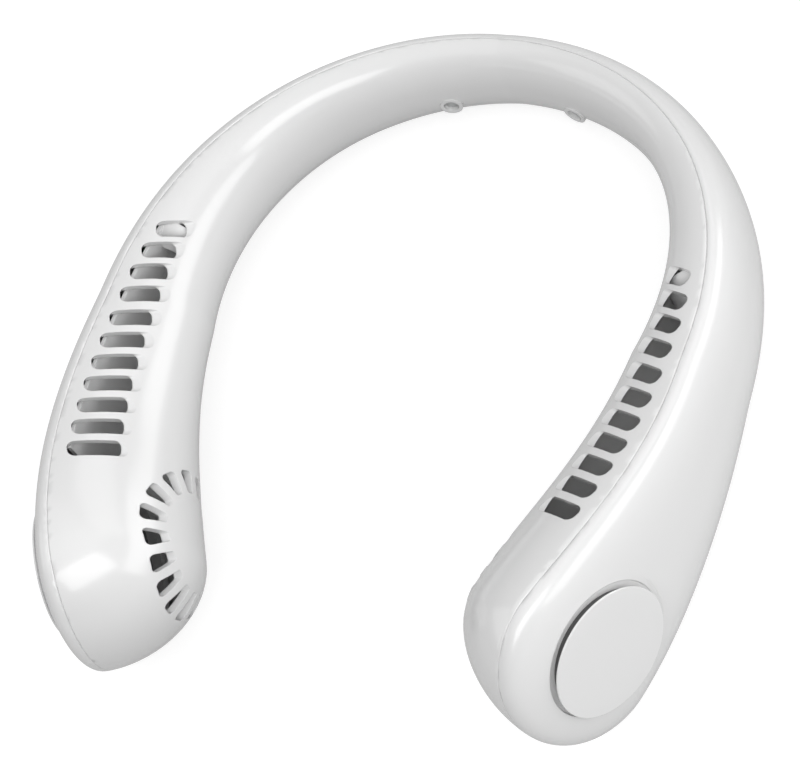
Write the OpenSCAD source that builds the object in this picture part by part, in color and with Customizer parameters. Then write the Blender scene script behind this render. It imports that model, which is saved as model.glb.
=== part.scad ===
// Electric neck fan: a U-shaped band that hangs round the neck, moulded as a deep
// inner shell and a shallow outer shell, with a small blower in each round head.
// Air goes in through the round grille on the inner face of a head, along the arm,
// and out through a row of slots on top of the arm.
// Millimetres. +Z is up, the open mouth of the U faces -Y, and +X is the right arm.
// The origin is at table level, in the middle of the fan's bounding box in plan.

/* [Line of the band in plan] */
// Distance of the line from the datum at the middle of the back
back_y = 97.6; // [94:0.2:102]
// Half the distance between the arms at their widest
side_x = 85.8; // [82:0.2:90]
// Where the arms are widest, from the datum
side_y = 9.6; // [6:0.2:14]
// Half the distance between the centres of the heads
head_x = 72.3; // [70:0.1:75]
// Distance of the centres of the heads from the datum, towards the mouth
head_y = 69.3; // [66:0.1:73]
// Angle by which the heads point towards each other
toe_in = 22.6; // [18:0.2:26]
// How far the middle of the back runs straight before it bends
back_pull = 43.2; // [38:0.2:48]
// How far the side runs straight towards the back
side_pull_back = 55.5; // [50:0.5:60]
// How far the side runs straight towards the head
side_pull_front = 10.8; // [8:0.2:16]
// How far the head's own line runs straight into the arm
head_pull = 44; // [38:0.5:48]
// Distance from the centre of a head to its tip
tip_reach = 24.3; // [22:0.1:26]

/* [Cross-section of the band] */
// Diameter of a head, seen from the side
head_d = 60; // [58:0.5:64]
// Height of the band at the middle of the back
back_h = 26.1; // [25:0.1:30]
// Height that the arm would have at the head without its swelling
arm_h = 42.1; // [38:0.1:46]
// Depth of the outer shell from the seam at the back
outer_back = 5.35; // [5:0.05:7]
// Depth of the outer shell along the arm
outer_arm = 8.8; // [8:0.1:10]
// Depth of the outer shell at the head
outer_head = 7.25; // [7:0.05:9]
// Depth of the inner shell from the seam at the back
inner_back = 8.25; // [7.5:0.05:10]
// Depth of the inner shell along the arm
inner_arm = 13.45; // [12:0.05:16]
// Depth of the inner shell at the head, which makes the dome with the grille
inner_head = 32.2; // [30:0.1:35]
// Lean of the cross-section at the back, in degrees
lean_back = -5.6; // [-8:0.2:0]
// Lean of the cross-section at the heads, in degrees
lean_head = 7.8; // [0:0.2:10]
// Wall of both shells
wall = 2; // [1.6:0.1:2.2]

/* [Outlet slots] */
// Number of slots on each arm
slot_count = 11; // [8:1:12]
// Length of the slot next to the back
slot_first_len = 9.6; // [8:0.1:11]
// Length of the slot next to the head
slot_last_len = 15; // [13:0.1:17]
// Width of a slot along the arm
slot_w = 4.8; // [4.4:0.1:5.4]
// Radius of the corners of a slot
slot_corner = 1.9; // [1:0.1:2.2]
// Direction of the slots in plan, in degrees from straight across
slot_turn = 19; // [10:1:25]
// Lean of the cut towards the neck, in degrees from upright
slot_lean = 48; // [30:1:60]

/* [Intake grille] */
// Number of slots round the dome
grille_count = 16; // [12:1:18]
// Radius to the inner ends of the grille slots
grille_in_r = 13.9; // [12:0.1:14.5]
// Radius to the outer ends of the grille slots
grille_out_r = 18.8; // [18:0.1:21]
// Width of a grille slot at its inner end
grille_in_w = 2.7; // [1.8:0.1:3]
// Width of a grille slot at its outer end
grille_out_w = 4.7; // [3.4:0.1:5.2]
// Turn of the grille about the fan's axis, in degrees
grille_turn = 14; // [0:0.5:22]

/* [Round caps] */
// Diameter of the round cap on the outer face of a head
cap_d = 35.8; // [34:0.1:38]
// Height of the cap above the shell's outer face
cap_proud = 1.9; // [1.2:0.1:2.4]
// Depth of the seat of the cap below the shell's outer face
cap_sink = 1.65; // [1.4:0.05:1.9]
// Gap round the cap in its seat
cap_gap = 0.5; // [0.3:0.05:0.8]
// Radius of the rounded edge of the cap
cap_edge_r = 1.3; // [0.8:0.1:1.6]
// Distance of the fan's axis from the centre of the head, towards the arm
fan_back = 3.8; // [3:0.1:6]

/* [Blower] */
// Number of impeller blades
blade_count = 24; // [16:1:30]
// Height of the impeller, from its back plate to its rim
impeller_h = 13.6; // [12:0.1:14.5]
// Length of a blade from its root to its tip
blade_len = 5.4; // [4.8:0.1:5.6]
// Thickness of a blade
blade_t = 0.8; // [0.6:0.05:1]
// Growth of the scroll's radius from its tongue to its outlet
scroll_growth = 3; // [2:0.1:3.6]
// Gap between the impeller and the scroll's tongue
tongue_gap = 0.8; // [0.6:0.05:1.2]

/* [Motor] */
// Height of the rotor's cup
rotor_h = 8.8; // [8:0.1:9.4]
// Diameter of the shaft
shaft_d = 2; // [1.8:0.1:2.4]
// Outside diameter of a bearing
bearing_d = 5; // [4.6:0.1:5.4]
// Number of the stator's teeth
tooth_count = 9; // [6:3:12]

/* [Battery] */
// Length of one cell
cell_len = 36; // [30:0.5:38]
// Height of one cell
cell_h = 16.5; // [15:0.1:16.9]
// Thickness of the cells next to the back
rear_cell_t = 4.6; // [3.5:0.1:5]
// Thickness of the cells next to the slots
front_cell_t = 7.2; // [5:0.1:7.8]

/* [Controls] */
// Diameter of the power button
button_d = 9; // [8:0.1:10]
// Travel of the power button
button_travel = 0.4; // [0.3:0.05:0.5]
// Length of the control board along the arm
board_len = 42; // [40:0.5:44]
// Height of the control board
board_h = 23; // [22:0.1:24]

/* [Hidden] */

// How finely the curves are made
$fn = 64;
shell_fn = 24;
slot_fn = 8;
slot_end_fn = 6;
back_steps = 11;
side_steps = 10;
tip_steps = 6;
inner_steps = 14;
outer_steps = 8;
cavity_inner_steps = 12;
cavity_outer_steps = 6;

// Small clearances and overruns
over = 0.5;
seat_gap = 0.3;
fit_gap = 0.15;
run_gap = 0.03;

// Shares of the way from the middle of the back to a head
swell_start_share = 0.45;
side_swell_start_share = 0.22;
rise_start_share = 0.02;
slot_first_share = 0.531;
slot_last_share = 0.877;
screw_share = 0.097;
rear_cell_share = 0.2;
front_cell_share = 0.385;
board_share = 0.61;
top_hook_shares = [0.16, 0.36];
low_hook_shares = [0.16, 0.36, 0.56, 0.76];

// Roundness of the cross-section: 2 is an ellipse, more is squarer
swell_power = 2.5;
outer_back_power = 1.8;
outer_head_power = 2.83;
inner_back_power = 2.5;
inner_head_power = 1.86;

// Colours
white_plastic = [0.93, 0.93, 0.92];
grey_plastic = [0.62, 0.63, 0.64];
steel = [0.72, 0.73, 0.75];
dark = [0.2, 0.2, 0.22];
copper = [0.72, 0.42, 0.22];
board_green = [0.1, 0.36, 0.22];
cell_blue = [0.25, 0.42, 0.66];
foam_grey = [0.35, 0.35, 0.36];
red_lead = [0.7, 0.12, 0.1];
lamp_white = [0.95, 0.95, 0.8];
clear_blue = [0.95, 0.97, 1];

// The line of the band in plan

function bezier(a, b, c, d, t) =
    pow(1 - t, 3) * a + 3 * pow(1 - t, 2) * t * b + 3 * (1 - t) * t * t * c + pow(t, 3) * d;
function bezier_slope(a, b, c, d, t) =
    3 * pow(1 - t, 2) * (b - a) + 6 * (1 - t) * t * (c - b) + 3 * t * t * (d - c);
function running_length(pts) =
    [for (i = 0, s = 0; i < len(pts);
        i = i + 1, s = s + (i < len(pts) ? norm(pts[i] - pts[i - 1]) : 0)) s];

tip_dir = [-sin(toe_in), -cos(toe_in)];
head_c = [head_x, -head_y];
back_curve = [[0, back_y], [back_pull, back_y], [side_x, side_y + side_pull_back], [side_x, side_y]];
side_curve = [[side_x, side_y], [side_x, side_y - side_pull_front], head_c - head_pull * tip_dir, head_c];
function on_curve(c, t) = bezier(c[0], c[1], c[2], c[3], t);
function along_curve(c, t) = bezier_slope(c[0], c[1], c[2], c[3], t);

line_pts = concat([for (i = [0 : back_steps]) on_curve(back_curve, i / back_steps)],
    [for (i = [1 : side_steps]) on_curve(side_curve, i / side_steps)]);
line_dirs = concat([for (i = [0 : back_steps]) along_curve(back_curve, i / back_steps)],
    [for (i = [1 : side_steps]) along_curve(side_curve, i / side_steps)]);
line_runs = running_length(line_pts);
line_len = line_runs[len(line_runs) - 1];

// Shape of the cross-section at a share u of the line
head_r = head_d / 2;
function ease(v) = let (c = min(1, max(0, v))) c * c * (3 - 2 * c);
function blend(a, b, u) = a + (b - a) * u;
function swell(u) = pow(ease((u - swell_start_share) / (1 - swell_start_share)), swell_power);
function side_swell(u) = ease((u - side_swell_start_share) / (1 - side_swell_start_share));
function half_h(u) = blend(back_h / 2, arm_h / 2, u) + (head_r - arm_h / 2) * swell(u);
function outer_w(u) = blend(outer_back, outer_arm, u) + (outer_head - outer_arm) * side_swell(u);
function inner_w(u) = blend(inner_back, inner_arm, u) + (inner_head - inner_arm) * side_swell(u);
function outer_power(u) = blend(outer_back_power, outer_head_power, u);
function inner_power(u) = blend(inner_back_power, inner_head_power, u);
function lean(u) = blend(lean_back, lean_head, u);
// The underside of the back is level with the underside of the heads
function centre_z(u) = (back_h / 2 - head_r) * (1 - ease((u - rise_start_share) / (1 - rise_start_share)));

// A station holds its place in plan, the direction of its outward normal, its share and
// its scale, which shrinks from 1 to 0 round the tip
function station(p, dir, u, k) = [p, atan2(dir[0], -dir[1]), u, k];
function stations(shrink) = concat(
    [for (i = [0 : len(line_pts) - 1]) station(line_pts[i], line_dirs[i], line_runs[i] / line_len, 1)],
    [for (i = [1 : tip_steps - 1]) let (a = 90 * i / tip_steps)
        station(head_c + tip_dir * (tip_reach - shrink) * sin(a), tip_dir, 1, cos(a))]);
function tip_point(shrink) = let (p = head_c + tip_dir * (tip_reach - shrink)) [p[0], p[1], 0];

// How far one side stands out from the seam at a share q of the half height
function side_depth(w, power, k, q) =
    w * pow(max(0, 1 - pow(sqrt(max(0, 1 - (1 - q * q) * k * k)), power)), 1 / power);
function section_point(s, n, z) = let (a = lean(s[2]), out = n * cos(a) - z * sin(a))
    [s[0][0] + out * cos(s[1]), s[0][1] + out * sin(s[1]), centre_z(s[2]) + n * sin(a) + z * cos(a)];
function inner_point(s, b, shrink) = let (u = s[2], p = inner_power(u), c = cos(b),
    q = sign(c) * pow(abs(c), 2 / p))
    section_point(s, -side_depth(inner_w(u) - shrink, p, s[3], q), q * (half_h(u) - shrink) * s[3]);
function outer_point(s, b, shrink) = let (u = s[2], p = outer_power(u), c = cos(b),
    q = sign(c) * pow(abs(c), 2 / p))
    section_point(s, side_depth(outer_w(u) - shrink, p, s[3], q), q * (half_h(u) - shrink) * s[3]);

function inner_ring(s, steps, shrink) = [for (j = [0 : steps]) inner_point(s, 180 * j / steps, shrink)];
function outer_ring(s, steps, shrink) = [for (j = [0 : steps]) outer_point(s, 180 * j / steps, shrink)];

function mirrored(pts) = [for (p = pts) [-p[0], p[1], p[2]]];
function last(v) = v[len(v) - 1];
function reversed(v) = [for (i = [len(v) - 1 : -1 : 0]) v[i]];
function both_arms(rings) =
    concat([for (r = reversed([for (i = [1 : len(rings) - 1]) rings[i]])) mirrored(r)], rings);

// Closed solid through a row of rings, with a point at each end
module skin(rings, first_point, last_point, flip = false) {
    m = len(rings[0]);
    n = len(rings);
    pts = concat([for (r = rings) for (p = r) p], [first_point, last_point]);
    sides = [for (i = [0 : n - 2]) for (j = [0 : m - 1]) let (a = i * m + j, b = i * m + (j + 1) % m,
        c = (i + 1) * m + (j + 1) % m, d = (i + 1) * m + j) each [[a, b, c], [a, c, d]]];
    start = [for (j = [0 : m - 1]) [n * m, (j + 1) % m, j]];
    end = [for (j = [0 : m - 1]) [n * m + 1, (n - 1) * m + j, (n - 1) * m + (j + 1) % m]];
    faces = concat(sides, start, end);
    polyhedron(pts, flip ? [for (f = faces) [f[0], f[2], f[1]]] : faces);
}

// Shell with an even wall: each ring runs down the skin and back up the cavity's wall
module shell(skin_steps, skins, cavities, flip = false) {
    rings = both_arms([for (i = [0 : len(skins) - 1]) concat(skins[i], reversed(cavities[i]))]);
    m = len(rings[0]);
    n = len(rings);
    tips = [tip_point(0), tip_point(wall)];
    pts = concat([for (r = rings) for (p = r) p], mirrored(tips), tips);
    function apex(j, end) = n * m + 2 * end + (j <= skin_steps ? 0 : 1);
    sides = [for (i = [0 : n - 2]) for (j = [0 : m - 1]) let (a = i * m + j, b = i * m + (j + 1) % m,
        c = (i + 1) * m + (j + 1) % m, d = (i + 1) * m + j) each [[a, b, c], [a, c, d]]];
    caps = [for (end = [0, 1]) for (j = [0 : m - 1]) let (i = end * (n - 1) * m, k = (j + 1) % m,
        a = apex(j, end), b = apex(k, end), turned = end == 0)
        each concat([turned ? [a, i + k, i + j] : [a, i + j, i + k]],
            a == b ? [] : [turned ? [a, b, i + k] : [a, i + k, b]])];
    faces = concat(sides, caps);
    polyhedron(pts, flip ? [for (f = faces) [f[0], f[2], f[1]]] : faces);
}
skin_places = stations(0);
cavity_places = stations(wall);
module inner_body() shell(inner_steps, [for (s = skin_places) inner_ring(s, inner_steps, 0)],
    [for (s = cavity_places) inner_ring(s, cavity_inner_steps, wall)], true);
module outer_body() shell(outer_steps, [for (s = skin_places) outer_ring(s, outer_steps, 0)],
    [for (s = cavity_places) outer_ring(s, cavity_outer_steps, wall)]);

// The box round the band sets the origin
edge_pts = [for (s = skin_places)
    for (p = concat(inner_ring(s, inner_steps, 0), outer_ring(s, outer_steps, 0))) p];
tip_y = tip_point(0)[1];
mid_y = (max([for (p = edge_pts) p[1]]) + min(tip_y, min([for (p = edge_pts) p[1]]))) / 2;
low_z = min([for (p = edge_pts) p[2]]);
module placed() translate([0, -mid_y, -low_z]) children();
module left() mirror([1, 0, 0]) children();

// Frames to build in. At a share u of the line, +X is outward and +Y runs back along the band
function line_at(u) = let (s = u * line_len)
    [lookup(s, [for (i = [0 : len(line_pts) - 1]) [line_runs[i], line_pts[i][0]]]),
     lookup(s, [for (i = [0 : len(line_pts) - 1]) [line_runs[i], line_pts[i][1]]])];
function turn_at(u) = let (s = u * line_len)
    lookup(s, [for (i = [0 : len(line_pts) - 1]) [line_runs[i], atan2(line_dirs[i][0], -line_dirs[i][1])]]);
rise_span_share = 0.05;
function rise_at(u) = atan((centre_z(u + rise_span_share) - centre_z(u - rise_span_share))
    / (2 * rise_span_share * line_len));
function share_station(u) = [line_at(u), turn_at(u), u, 1];
module at_share(u) {
    p = line_at(u);
    placed() translate([p[0], p[1], centre_z(u)]) rotate([0, 0, turn_at(u)]) rotate([-rise_at(u), 0, 0])
        rotate([0, -lean(u), 0]) children();
}
// In a head, +Z is the fan's axis, pointing outward, +Y runs back along the arm and +X is down
module in_head() placed() translate([head_x, -head_y, 0]) rotate([0, 0, -toe_in])
    rotate([0, -lean_head, 0]) translate([0, fan_back, 0]) rotate([0, 90, 0]) children();

// From a place on the band, where a wall lies at a distance y back along the band and a height z.
// A depth of zero gives the skin, and a depth of one wall gives the inner face
function line_drop(u, y) = let (a = turn_at(u), d = line_at(u - y / line_len) - line_at(u))
    d[0] * cos(a) + d[1] * sin(a);
function outer_x(u, y, z, depth) = let (v = u - y / line_len)
    line_drop(u, y) + side_depth(outer_w(v) - depth, outer_power(v), 1, z / (half_h(v) - depth));

// Outlet slots
function slot_share(i) = blend(slot_first_share, slot_last_share, i / (slot_count - 1));
slot_growth_power = 0.7;
function slot_len(i) = blend(slot_first_len, slot_last_len, pow(i / (slot_count - 1), slot_growth_power));
// How far a slot reaches towards the neck from its place on the band
slot_first_reach = 6;
slot_last_reach = 7.4;
function slot_reach(i) = blend(slot_first_reach, slot_last_reach, i / (slot_count - 1));
// How much the end next to the neck opens out for each millimetre of height
slot_flare_share = 0.7;
slot_angle = 22;
slot_fall = 25;
slot_depth = 9;
slot_inside = 6;
module rounded_bar(x, y, r) {
    for (sx = [-1, 1]) for (sy = [-1, 1])
        translate([sx * (x / 2 - r), sy * (y / 2 - r)]) circle(r, $fn = slot_fn);
}
module slot_cut(i) {
    u = slot_share(i);
    c = inner_point(share_station(u), slot_angle, 0);
    across = slot_len(i) * cos(slot_lean - slot_fall);
    translate(c) rotate([0, 0, 180 - slot_turn]) rotate([0, slot_lean, 0])
        hull() for (z = [-slot_inside, slot_depth])
            let (x = max(2 * slot_corner + fit_gap, across + slot_flare_share * z))
            translate([slot_reach(i) - across + x / 2, 0, z]) linear_extrude(over)
                rounded_bar(x, slot_w, slot_corner);
}

// Intake grille, in the head's frame
grille_top = 14;
// The ring sits a little above the fan's axis and nearer the tip, where the dome faces the neck
grille_rise = 1.8;
grille_fore = 0.5;
grille_in_corner = 0.5;
grille_out_corner = 1.2;
module grille_cut(i) {
    translate([-grille_rise, -grille_fore, -inner_head - over])
        rotate([0, 0, 90 + grille_turn + i * 360 / grille_count])
            linear_extrude(inner_head + over - grille_top) hull() for (s = [-1, 1]) {
                translate([grille_in_r + grille_in_corner, s * (grille_in_w / 2 - grille_in_corner)])
                    circle(grille_in_corner, $fn = 4);
                translate([grille_out_r - grille_out_corner, s * (grille_out_w / 2 - grille_out_corner)])
                    circle(grille_out_corner, $fn = slot_end_fn);
            }
}

// Screws through the inner shell into the outer one at the back
screw_d = 2;
screw_head_d = 3.6;
screw_head_t = 1.3;
screw_pocket_d = 4.2;
screw_pocket_depth = 2;
screw_boss_d = 6.4;
screw_len = 9;
screw_drop_share = 0.42;
screw_z = -screw_drop_share * half_h(screw_share);
screw_face = -side_depth(inner_w(screw_share), inner_power(screw_share), 1, screw_drop_share);
screw_head_seat = screw_face + screw_pocket_depth;
screw_wall_out = side_depth(outer_w(screw_share) - wall, outer_power(screw_share), 1, screw_drop_share);
module at_screw() at_share(screw_share) translate([0, 0, screw_z]) rotate([0, 90, 0]) children();

// Heights along the fan's axis, measured outward from the seam
cap_seat_z = outer_head - cap_sink;
cap_top_z = outer_head + cap_proud;
seat_t = 2;
seat_inner_z = cap_seat_z - seat_t;
mount_t = 1.2;
mount_top_z = seat_inner_z - seat_gap;
mount_low_z = mount_top_z - mount_t;
plate_t = 1.3;
plate_low_z = mount_low_z - plate_t;
function head_inner_r(z) = (head_r - wall) * pow(1 - pow(-z / (inner_head - wall), inner_head_power),
    1 / inner_head_power);
// Room round the fan's axis, which is least towards the tip
function head_room_r(z) = min(head_inner_r(z),
    (tip_reach - wall) / (head_r - wall) * head_inner_r(z) + fan_back);

// Round caps
cap_r = cap_d / 2;
cap_skin = 1.5;
cap_rim = 1.6;
peg_d = 2.6;
peg_len = 1.6;
peg_count = 3;
peg_gap = 0.3;
peg_r = cap_r - cap_rim - peg_d;
module pegs(d, h) for (i = [0 : peg_count - 1])
    rotate([0, 0, i * 360 / peg_count]) translate([peg_r, 0, 0]) cylinder(d = d, h = h);
module cap() {
    rotate_extrude() difference() {
        union() {
            translate([0, cap_seat_z]) square([cap_r, cap_top_z - cap_seat_z - cap_edge_r]);
            translate([0, cap_seat_z]) square([cap_r - cap_edge_r, cap_top_z - cap_seat_z]);
            translate([cap_r - cap_edge_r, cap_top_z - cap_edge_r]) circle(cap_edge_r);
        }
        translate([-over, cap_seat_z - over])
            square([cap_r - cap_rim + over, cap_top_z - cap_skin - cap_seat_z + over]);
    }
    translate([0, 0, cap_seat_z - peg_len]) pegs(peg_d, peg_len + cap_top_z - cap_skin - cap_seat_z + over);
}

// Blower
scroll_t = 1;
scroll_depth = 12;
scroll_gap = 1.1;
plate_r = head_room_r(plate_low_z - scroll_depth) - scroll_gap;
impeller_r = plate_r - fit_gap - scroll_t - scroll_growth - tongue_gap;
impeller_back_z = plate_low_z - seat_gap;
back_plate_t = 1;
rim_t = 1;
rim_w = 2.4;
hub_t = 1;
hub_gap = 0.1;
blade_sweep = 26;
blade_steps = 4;
blade_root_r = impeller_r - blade_len;
// The rotor fills the hub, which the blades grow out of
rotor_d = 2 * (blade_root_r - hub_t / 2 - hub_gap);
hub_in_r = rotor_d / 2 + hub_gap;
tongue_angle = 132;
scroll_turn = 276;
scroll_steps = 28;
function polar(r, a) = [r * cos(a), r * sin(a)];
function scroll_r(t) = impeller_r + tongue_gap + scroll_growth * t;
module scroll_profile() {
    steps = [for (i = [0 : scroll_steps]) i / scroll_steps];
    polygon(concat([for (t = steps) polar(scroll_r(t), tongue_angle + scroll_turn * t)],
        [for (t = reversed(steps)) polar(scroll_r(t) + scroll_t, tongue_angle + scroll_turn * t)]));
}
module scroll() {
    difference() {
        union() {
            translate([0, 0, plate_low_z]) cylinder(r = plate_r, h = plate_t);
            translate([0, 0, plate_low_z - scroll_depth])
                linear_extrude(scroll_depth + plate_t) scroll_profile();
        }
        translate([0, 0, plate_low_z - over]) cylinder(r = tube_r + fit_gap, h = plate_t + 2 * over);
        motor_screw_places() translate([0, 0, plate_low_z - over])
            cylinder(d = motor_screw_d + 2 * fit_gap, h = plate_t + 2 * over);
        translate([0, 0, plate_low_z - over]) pegs(peg_d + 2 * peg_gap, plate_t + 2 * over);
    }
}
module blade(h) {
    steps = [for (i = [0 : blade_steps]) i / blade_steps];
    function mid(t) = polar(blade_root_r + (blade_len - rim_t / 4) * t, blade_sweep * t * t);
    function side(t) = let (r = blade_root_r + blade_len * t) blade_t / 2 / r * 180 / PI;
    linear_extrude(h) polygon(concat(
        [for (t = steps) polar(norm(mid(t)), blade_sweep * t * t - side(t))],
        [for (t = reversed(steps)) polar(norm(mid(t)), blade_sweep * t * t + side(t))]));
}
module impeller() {
    low = impeller_back_z - impeller_h;
    hub_low = rotor_low_z - hub_gap - hub_t;
    rotate_extrude() {
        translate([hub_in_r, impeller_back_z - back_plate_t])
            square([impeller_r - hub_in_r, back_plate_t]);
        translate([hub_in_r, hub_low]) square([hub_t, impeller_back_z - hub_low]);
        translate([shaft_r + fit_gap, hub_low]) square([hub_in_r + hub_t - shaft_r - fit_gap, hub_t]);
        translate([impeller_r - rim_w, low]) square([rim_w, rim_t]);
    }
    for (i = [0 : blade_count - 1]) rotate([0, 0, i * 360 / blade_count])
        translate([0, 0, low + rim_t / 2]) blade(impeller_h - rim_t / 2 - back_plate_t / 2);
}
inlet_t = 1.2;
inlet_gap = 1.3;
inlet_clear = 0.8;
inlet_z = impeller_back_z - impeller_h - inlet_gap - inlet_t;
inlet_lip = 1.4;
module inlet_ring() {
    outer = head_room_r(inlet_z) - inlet_clear;
    inner = impeller_r - rim_w;
    rotate_extrude() polygon([[inner, inlet_z + inlet_t], [inner, inlet_z + inlet_t + inlet_lip / 2],
        [inner - inlet_t, inlet_z + inlet_t + inlet_lip / 2], [inner - inlet_t, inlet_z - inlet_lip / 2],
        [inner, inlet_z], [outer, inlet_z], [outer, inlet_z + inlet_t]]);
}

// Motor
shaft_r = shaft_d / 2;
rotor_t = 0.6;
magnet_t = 1.2;
air_gap = 0.4;
tube_wall = 0.7;
tube_r = bearing_d / 2 + tube_wall;
rotor_top_z = plate_low_z - 2 * seat_gap;
rotor_low_z = rotor_top_z - rotor_h;
bearing_t = 2;
bearing_end_gap = 0.4;
tube_low_z = rotor_low_z + rotor_t + air_gap;
magnet_h = rotor_h - rotor_t - magnet_t;
stator_r = rotor_d / 2 - rotor_t - magnet_t - air_gap;
core_h = 4.4;
core_mid_z = (rotor_top_z + rotor_low_z + rotor_t) / 2;
yoke_t = 1.4;
tooth_w = 1.5;
shoe_t = 0.9;
shoe_share = 0.72;
coil_t = 0.8;
motor_screw_d = 2;
motor_screw_head_d = 3.4;
motor_screw_head_t = 1.1;
motor_screw_r = 9;
motor_screw_count = 3;
motor_screw_turn = 60;
mount_r = 13;
module motor_screw_places() for (i = [0 : motor_screw_count - 1])
    rotate([0, 0, motor_screw_turn + i * 360 / motor_screw_count])
        translate([motor_screw_r, 0, 0]) children();
module motor_mount() {
    difference() {
        union() {
            translate([0, 0, mount_low_z]) cylinder(r = mount_r, h = mount_t);
            translate([0, 0, tube_low_z]) cylinder(r = tube_r, h = mount_top_z - tube_low_z);
        }
        translate([0, 0, tube_low_z - over]) cylinder(d = bearing_d, h = mount_top_z - tube_low_z + 2 * over);
        motor_screw_places() translate([0, 0, mount_low_z - over])
            cylinder(d = motor_screw_d, h = mount_t + 2 * over);
    }
}
module bearing() difference() {
    cylinder(d = bearing_d, h = bearing_t);
    translate([0, 0, -over]) cylinder(r = shaft_r + run_gap, h = bearing_t + 2 * over);
}
module bearings() {
    translate([0, 0, tube_low_z]) bearing();
    translate([0, 0, mount_top_z - bearing_end_gap - bearing_t]) bearing();
}
module rotor_cup() difference() {
    translate([0, 0, rotor_low_z]) cylinder(d = rotor_d, h = rotor_h);
    translate([0, 0, rotor_low_z + rotor_t]) cylinder(r = rotor_d / 2 - rotor_t, h = rotor_h);
    translate([0, 0, rotor_low_z - over]) cylinder(r = shaft_r, h = rotor_h);
}
module magnet_ring() translate([0, 0, rotor_top_z - magnet_h]) difference() {
    cylinder(r = rotor_d / 2 - rotor_t, h = magnet_h);
    translate([0, 0, -over]) cylinder(r = rotor_d / 2 - rotor_t - magnet_t, h = magnet_h + 2 * over);
}
module fan_shaft() translate([0, 0, rotor_low_z])
    cylinder(r = shaft_r, h = mount_top_z - bearing_end_gap - rotor_low_z);
module stator_core() translate([0, 0, core_mid_z - core_h / 2]) linear_extrude(core_h) difference() {
    union() {
        circle(tube_r + yoke_t);
        for (i = [0 : tooth_count - 1]) rotate(i * 360 / tooth_count) {
            translate([0, -tooth_w / 2]) square([stator_r - shoe_t / 2, tooth_w]);
            intersection() {
                difference() {
                    circle(stator_r);
                    circle(stator_r - shoe_t);
                }
                polygon([[0, 0], polar(2 * stator_r, -shoe_share * 180 / tooth_count),
                    polar(2 * stator_r, shoe_share * 180 / tooth_count)]);
            }
        }
    }
    circle(tube_r);
}
module stator_coils() {
    root = tube_r + yoke_t + fit_gap;
    coil_len = stator_r - shoe_t - fit_gap - root;
    gap = fit_gap / 3;
    for (i = [0 : tooth_count - 1]) rotate([0, 0, i * 360 / tooth_count]) difference() {
        translate([root, -tooth_w / 2 - coil_t, core_mid_z - core_h / 2 - coil_t])
            cube([coil_len, tooth_w + 2 * coil_t, core_h + 2 * coil_t]);
        translate([root - over, -tooth_w / 2 - gap, core_mid_z - core_h / 2 - gap])
            cube([coil_len + 2 * over, tooth_w + 2 * gap, core_h + 2 * gap]);
    }
}
motor_screw_len = 5;
module motor_screws() motor_screw_places() translate([0, 0, cap_seat_z]) {
    cylinder(d = motor_screw_head_d, h = motor_screw_head_t);
    translate([0, 0, -motor_screw_len]) cylinder(d = motor_screw_d - 2 * run_gap, h = motor_screw_len);
}

// Battery cells fill the band between the back and the first slot
cell_edge_r = 1.2;
cell_gap = 0.7;
foam_len = 14;
foam_h = 10;
function cell_out(u) = min([for (s = [-1, 0, 1]) outer_x(u, s * cell_len / 2, cell_h / 2, wall)]) - cell_gap;
module rounded_block(x, y, z, r) translate([0, y / 2, 0]) rotate([90, 0, 0]) linear_extrude(y) {
    square([x, z - 2 * r], center = true);
    square([x - 2 * r, z], center = true);
    for (sx = [-1, 1]) for (sz = [-1, 1])
        translate([sx * (x / 2 - r), sz * (z / 2 - r)]) circle(r);
}
module cell(u, t) at_share(u) translate([cell_out(u) - t / 2, 0, 0])
    rounded_block(t, cell_len, cell_h, cell_edge_r);
module cell_foam(u) {
    far = min([for (s = [-1, 1]) outer_x(u, s * foam_len / 2, foam_h / 2, wall)]) - seat_gap;
    at_share(u) translate([cell_out(u), -foam_len / 2, -foam_h / 2])
        cube([far - cell_out(u), foam_len, foam_h]);
}

// Controls on the outer side of the left arm, built on the right and mirrored
board_t = 1.2;
board_low = 13;
board_hole_d = 1.8;
board_hole_in = 2.5;
board_boss_d = 4.4;
usb_w = 8.94;
usb_t = 3.26;
usb_len = 7.3;
usb_shell = 0.3;
usb_sunk = 0.4;
usb_tongue_t = 0.7;
usb_in = 11;
usb_y = usb_in - board_len / 2;
button_y = 7;
switch_w = 6;
switch_t = 1.6;
plunger_d = 3.2;
plunger_stand = 0.5;
plunger_deep = 0.8;
button_proud = 0.5;
flange_t = 0.8;
flange_w = 1;
button_gap = 0.25;
button_edge = 0.5;
led_count = 4;
led_pitch = 3.2;
led_z = 5;
led_w = 1.6;
led_h = 0.8;
led_t = 0.6;
led_pin_d = 1.4;
pipe_t = 0.9;
pipe_w = 3;
pipe_gap = 0.5;
button_r = button_d / 2;
switch_top = board_t / 2 + switch_t;
button_low = switch_top + plunger_stand;
button_reach = button_r + flange_w;
function skin_x(y, z) = outer_x(board_share, y, z, 0);
function wall_x(y, z) = outer_x(board_share, y, z, wall);
wall_in = min(concat([for (s = [-1, 1]) wall_x(button_y + s * button_reach, 0)],
    [wall_x(button_y, button_reach)]));
button_top = skin_x(button_y, 0) + button_proud;
module at_board() left() at_share(board_share) children();
module out_axis() rotate([0, 90, 0]) children();
function usb_mouth() = -half_h(board_share) * pow(1 - pow(usb_t / 4 / outer_w(board_share),
    outer_power(board_share)), 1 / outer_power(board_share)) + usb_sunk;
boss_y = board_len / 2 - board_hole_in;
boss_z = board_h - board_low - board_hole_in;
led_y = board_boss_d / 2 + pipe_gap + pipe_w / 2 + (led_count - 1) * led_pitch - boss_y;
boss_end = max([for (s = [-1, 1]) wall_x(s * boss_y, boss_z)]) + fit_gap;
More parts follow.
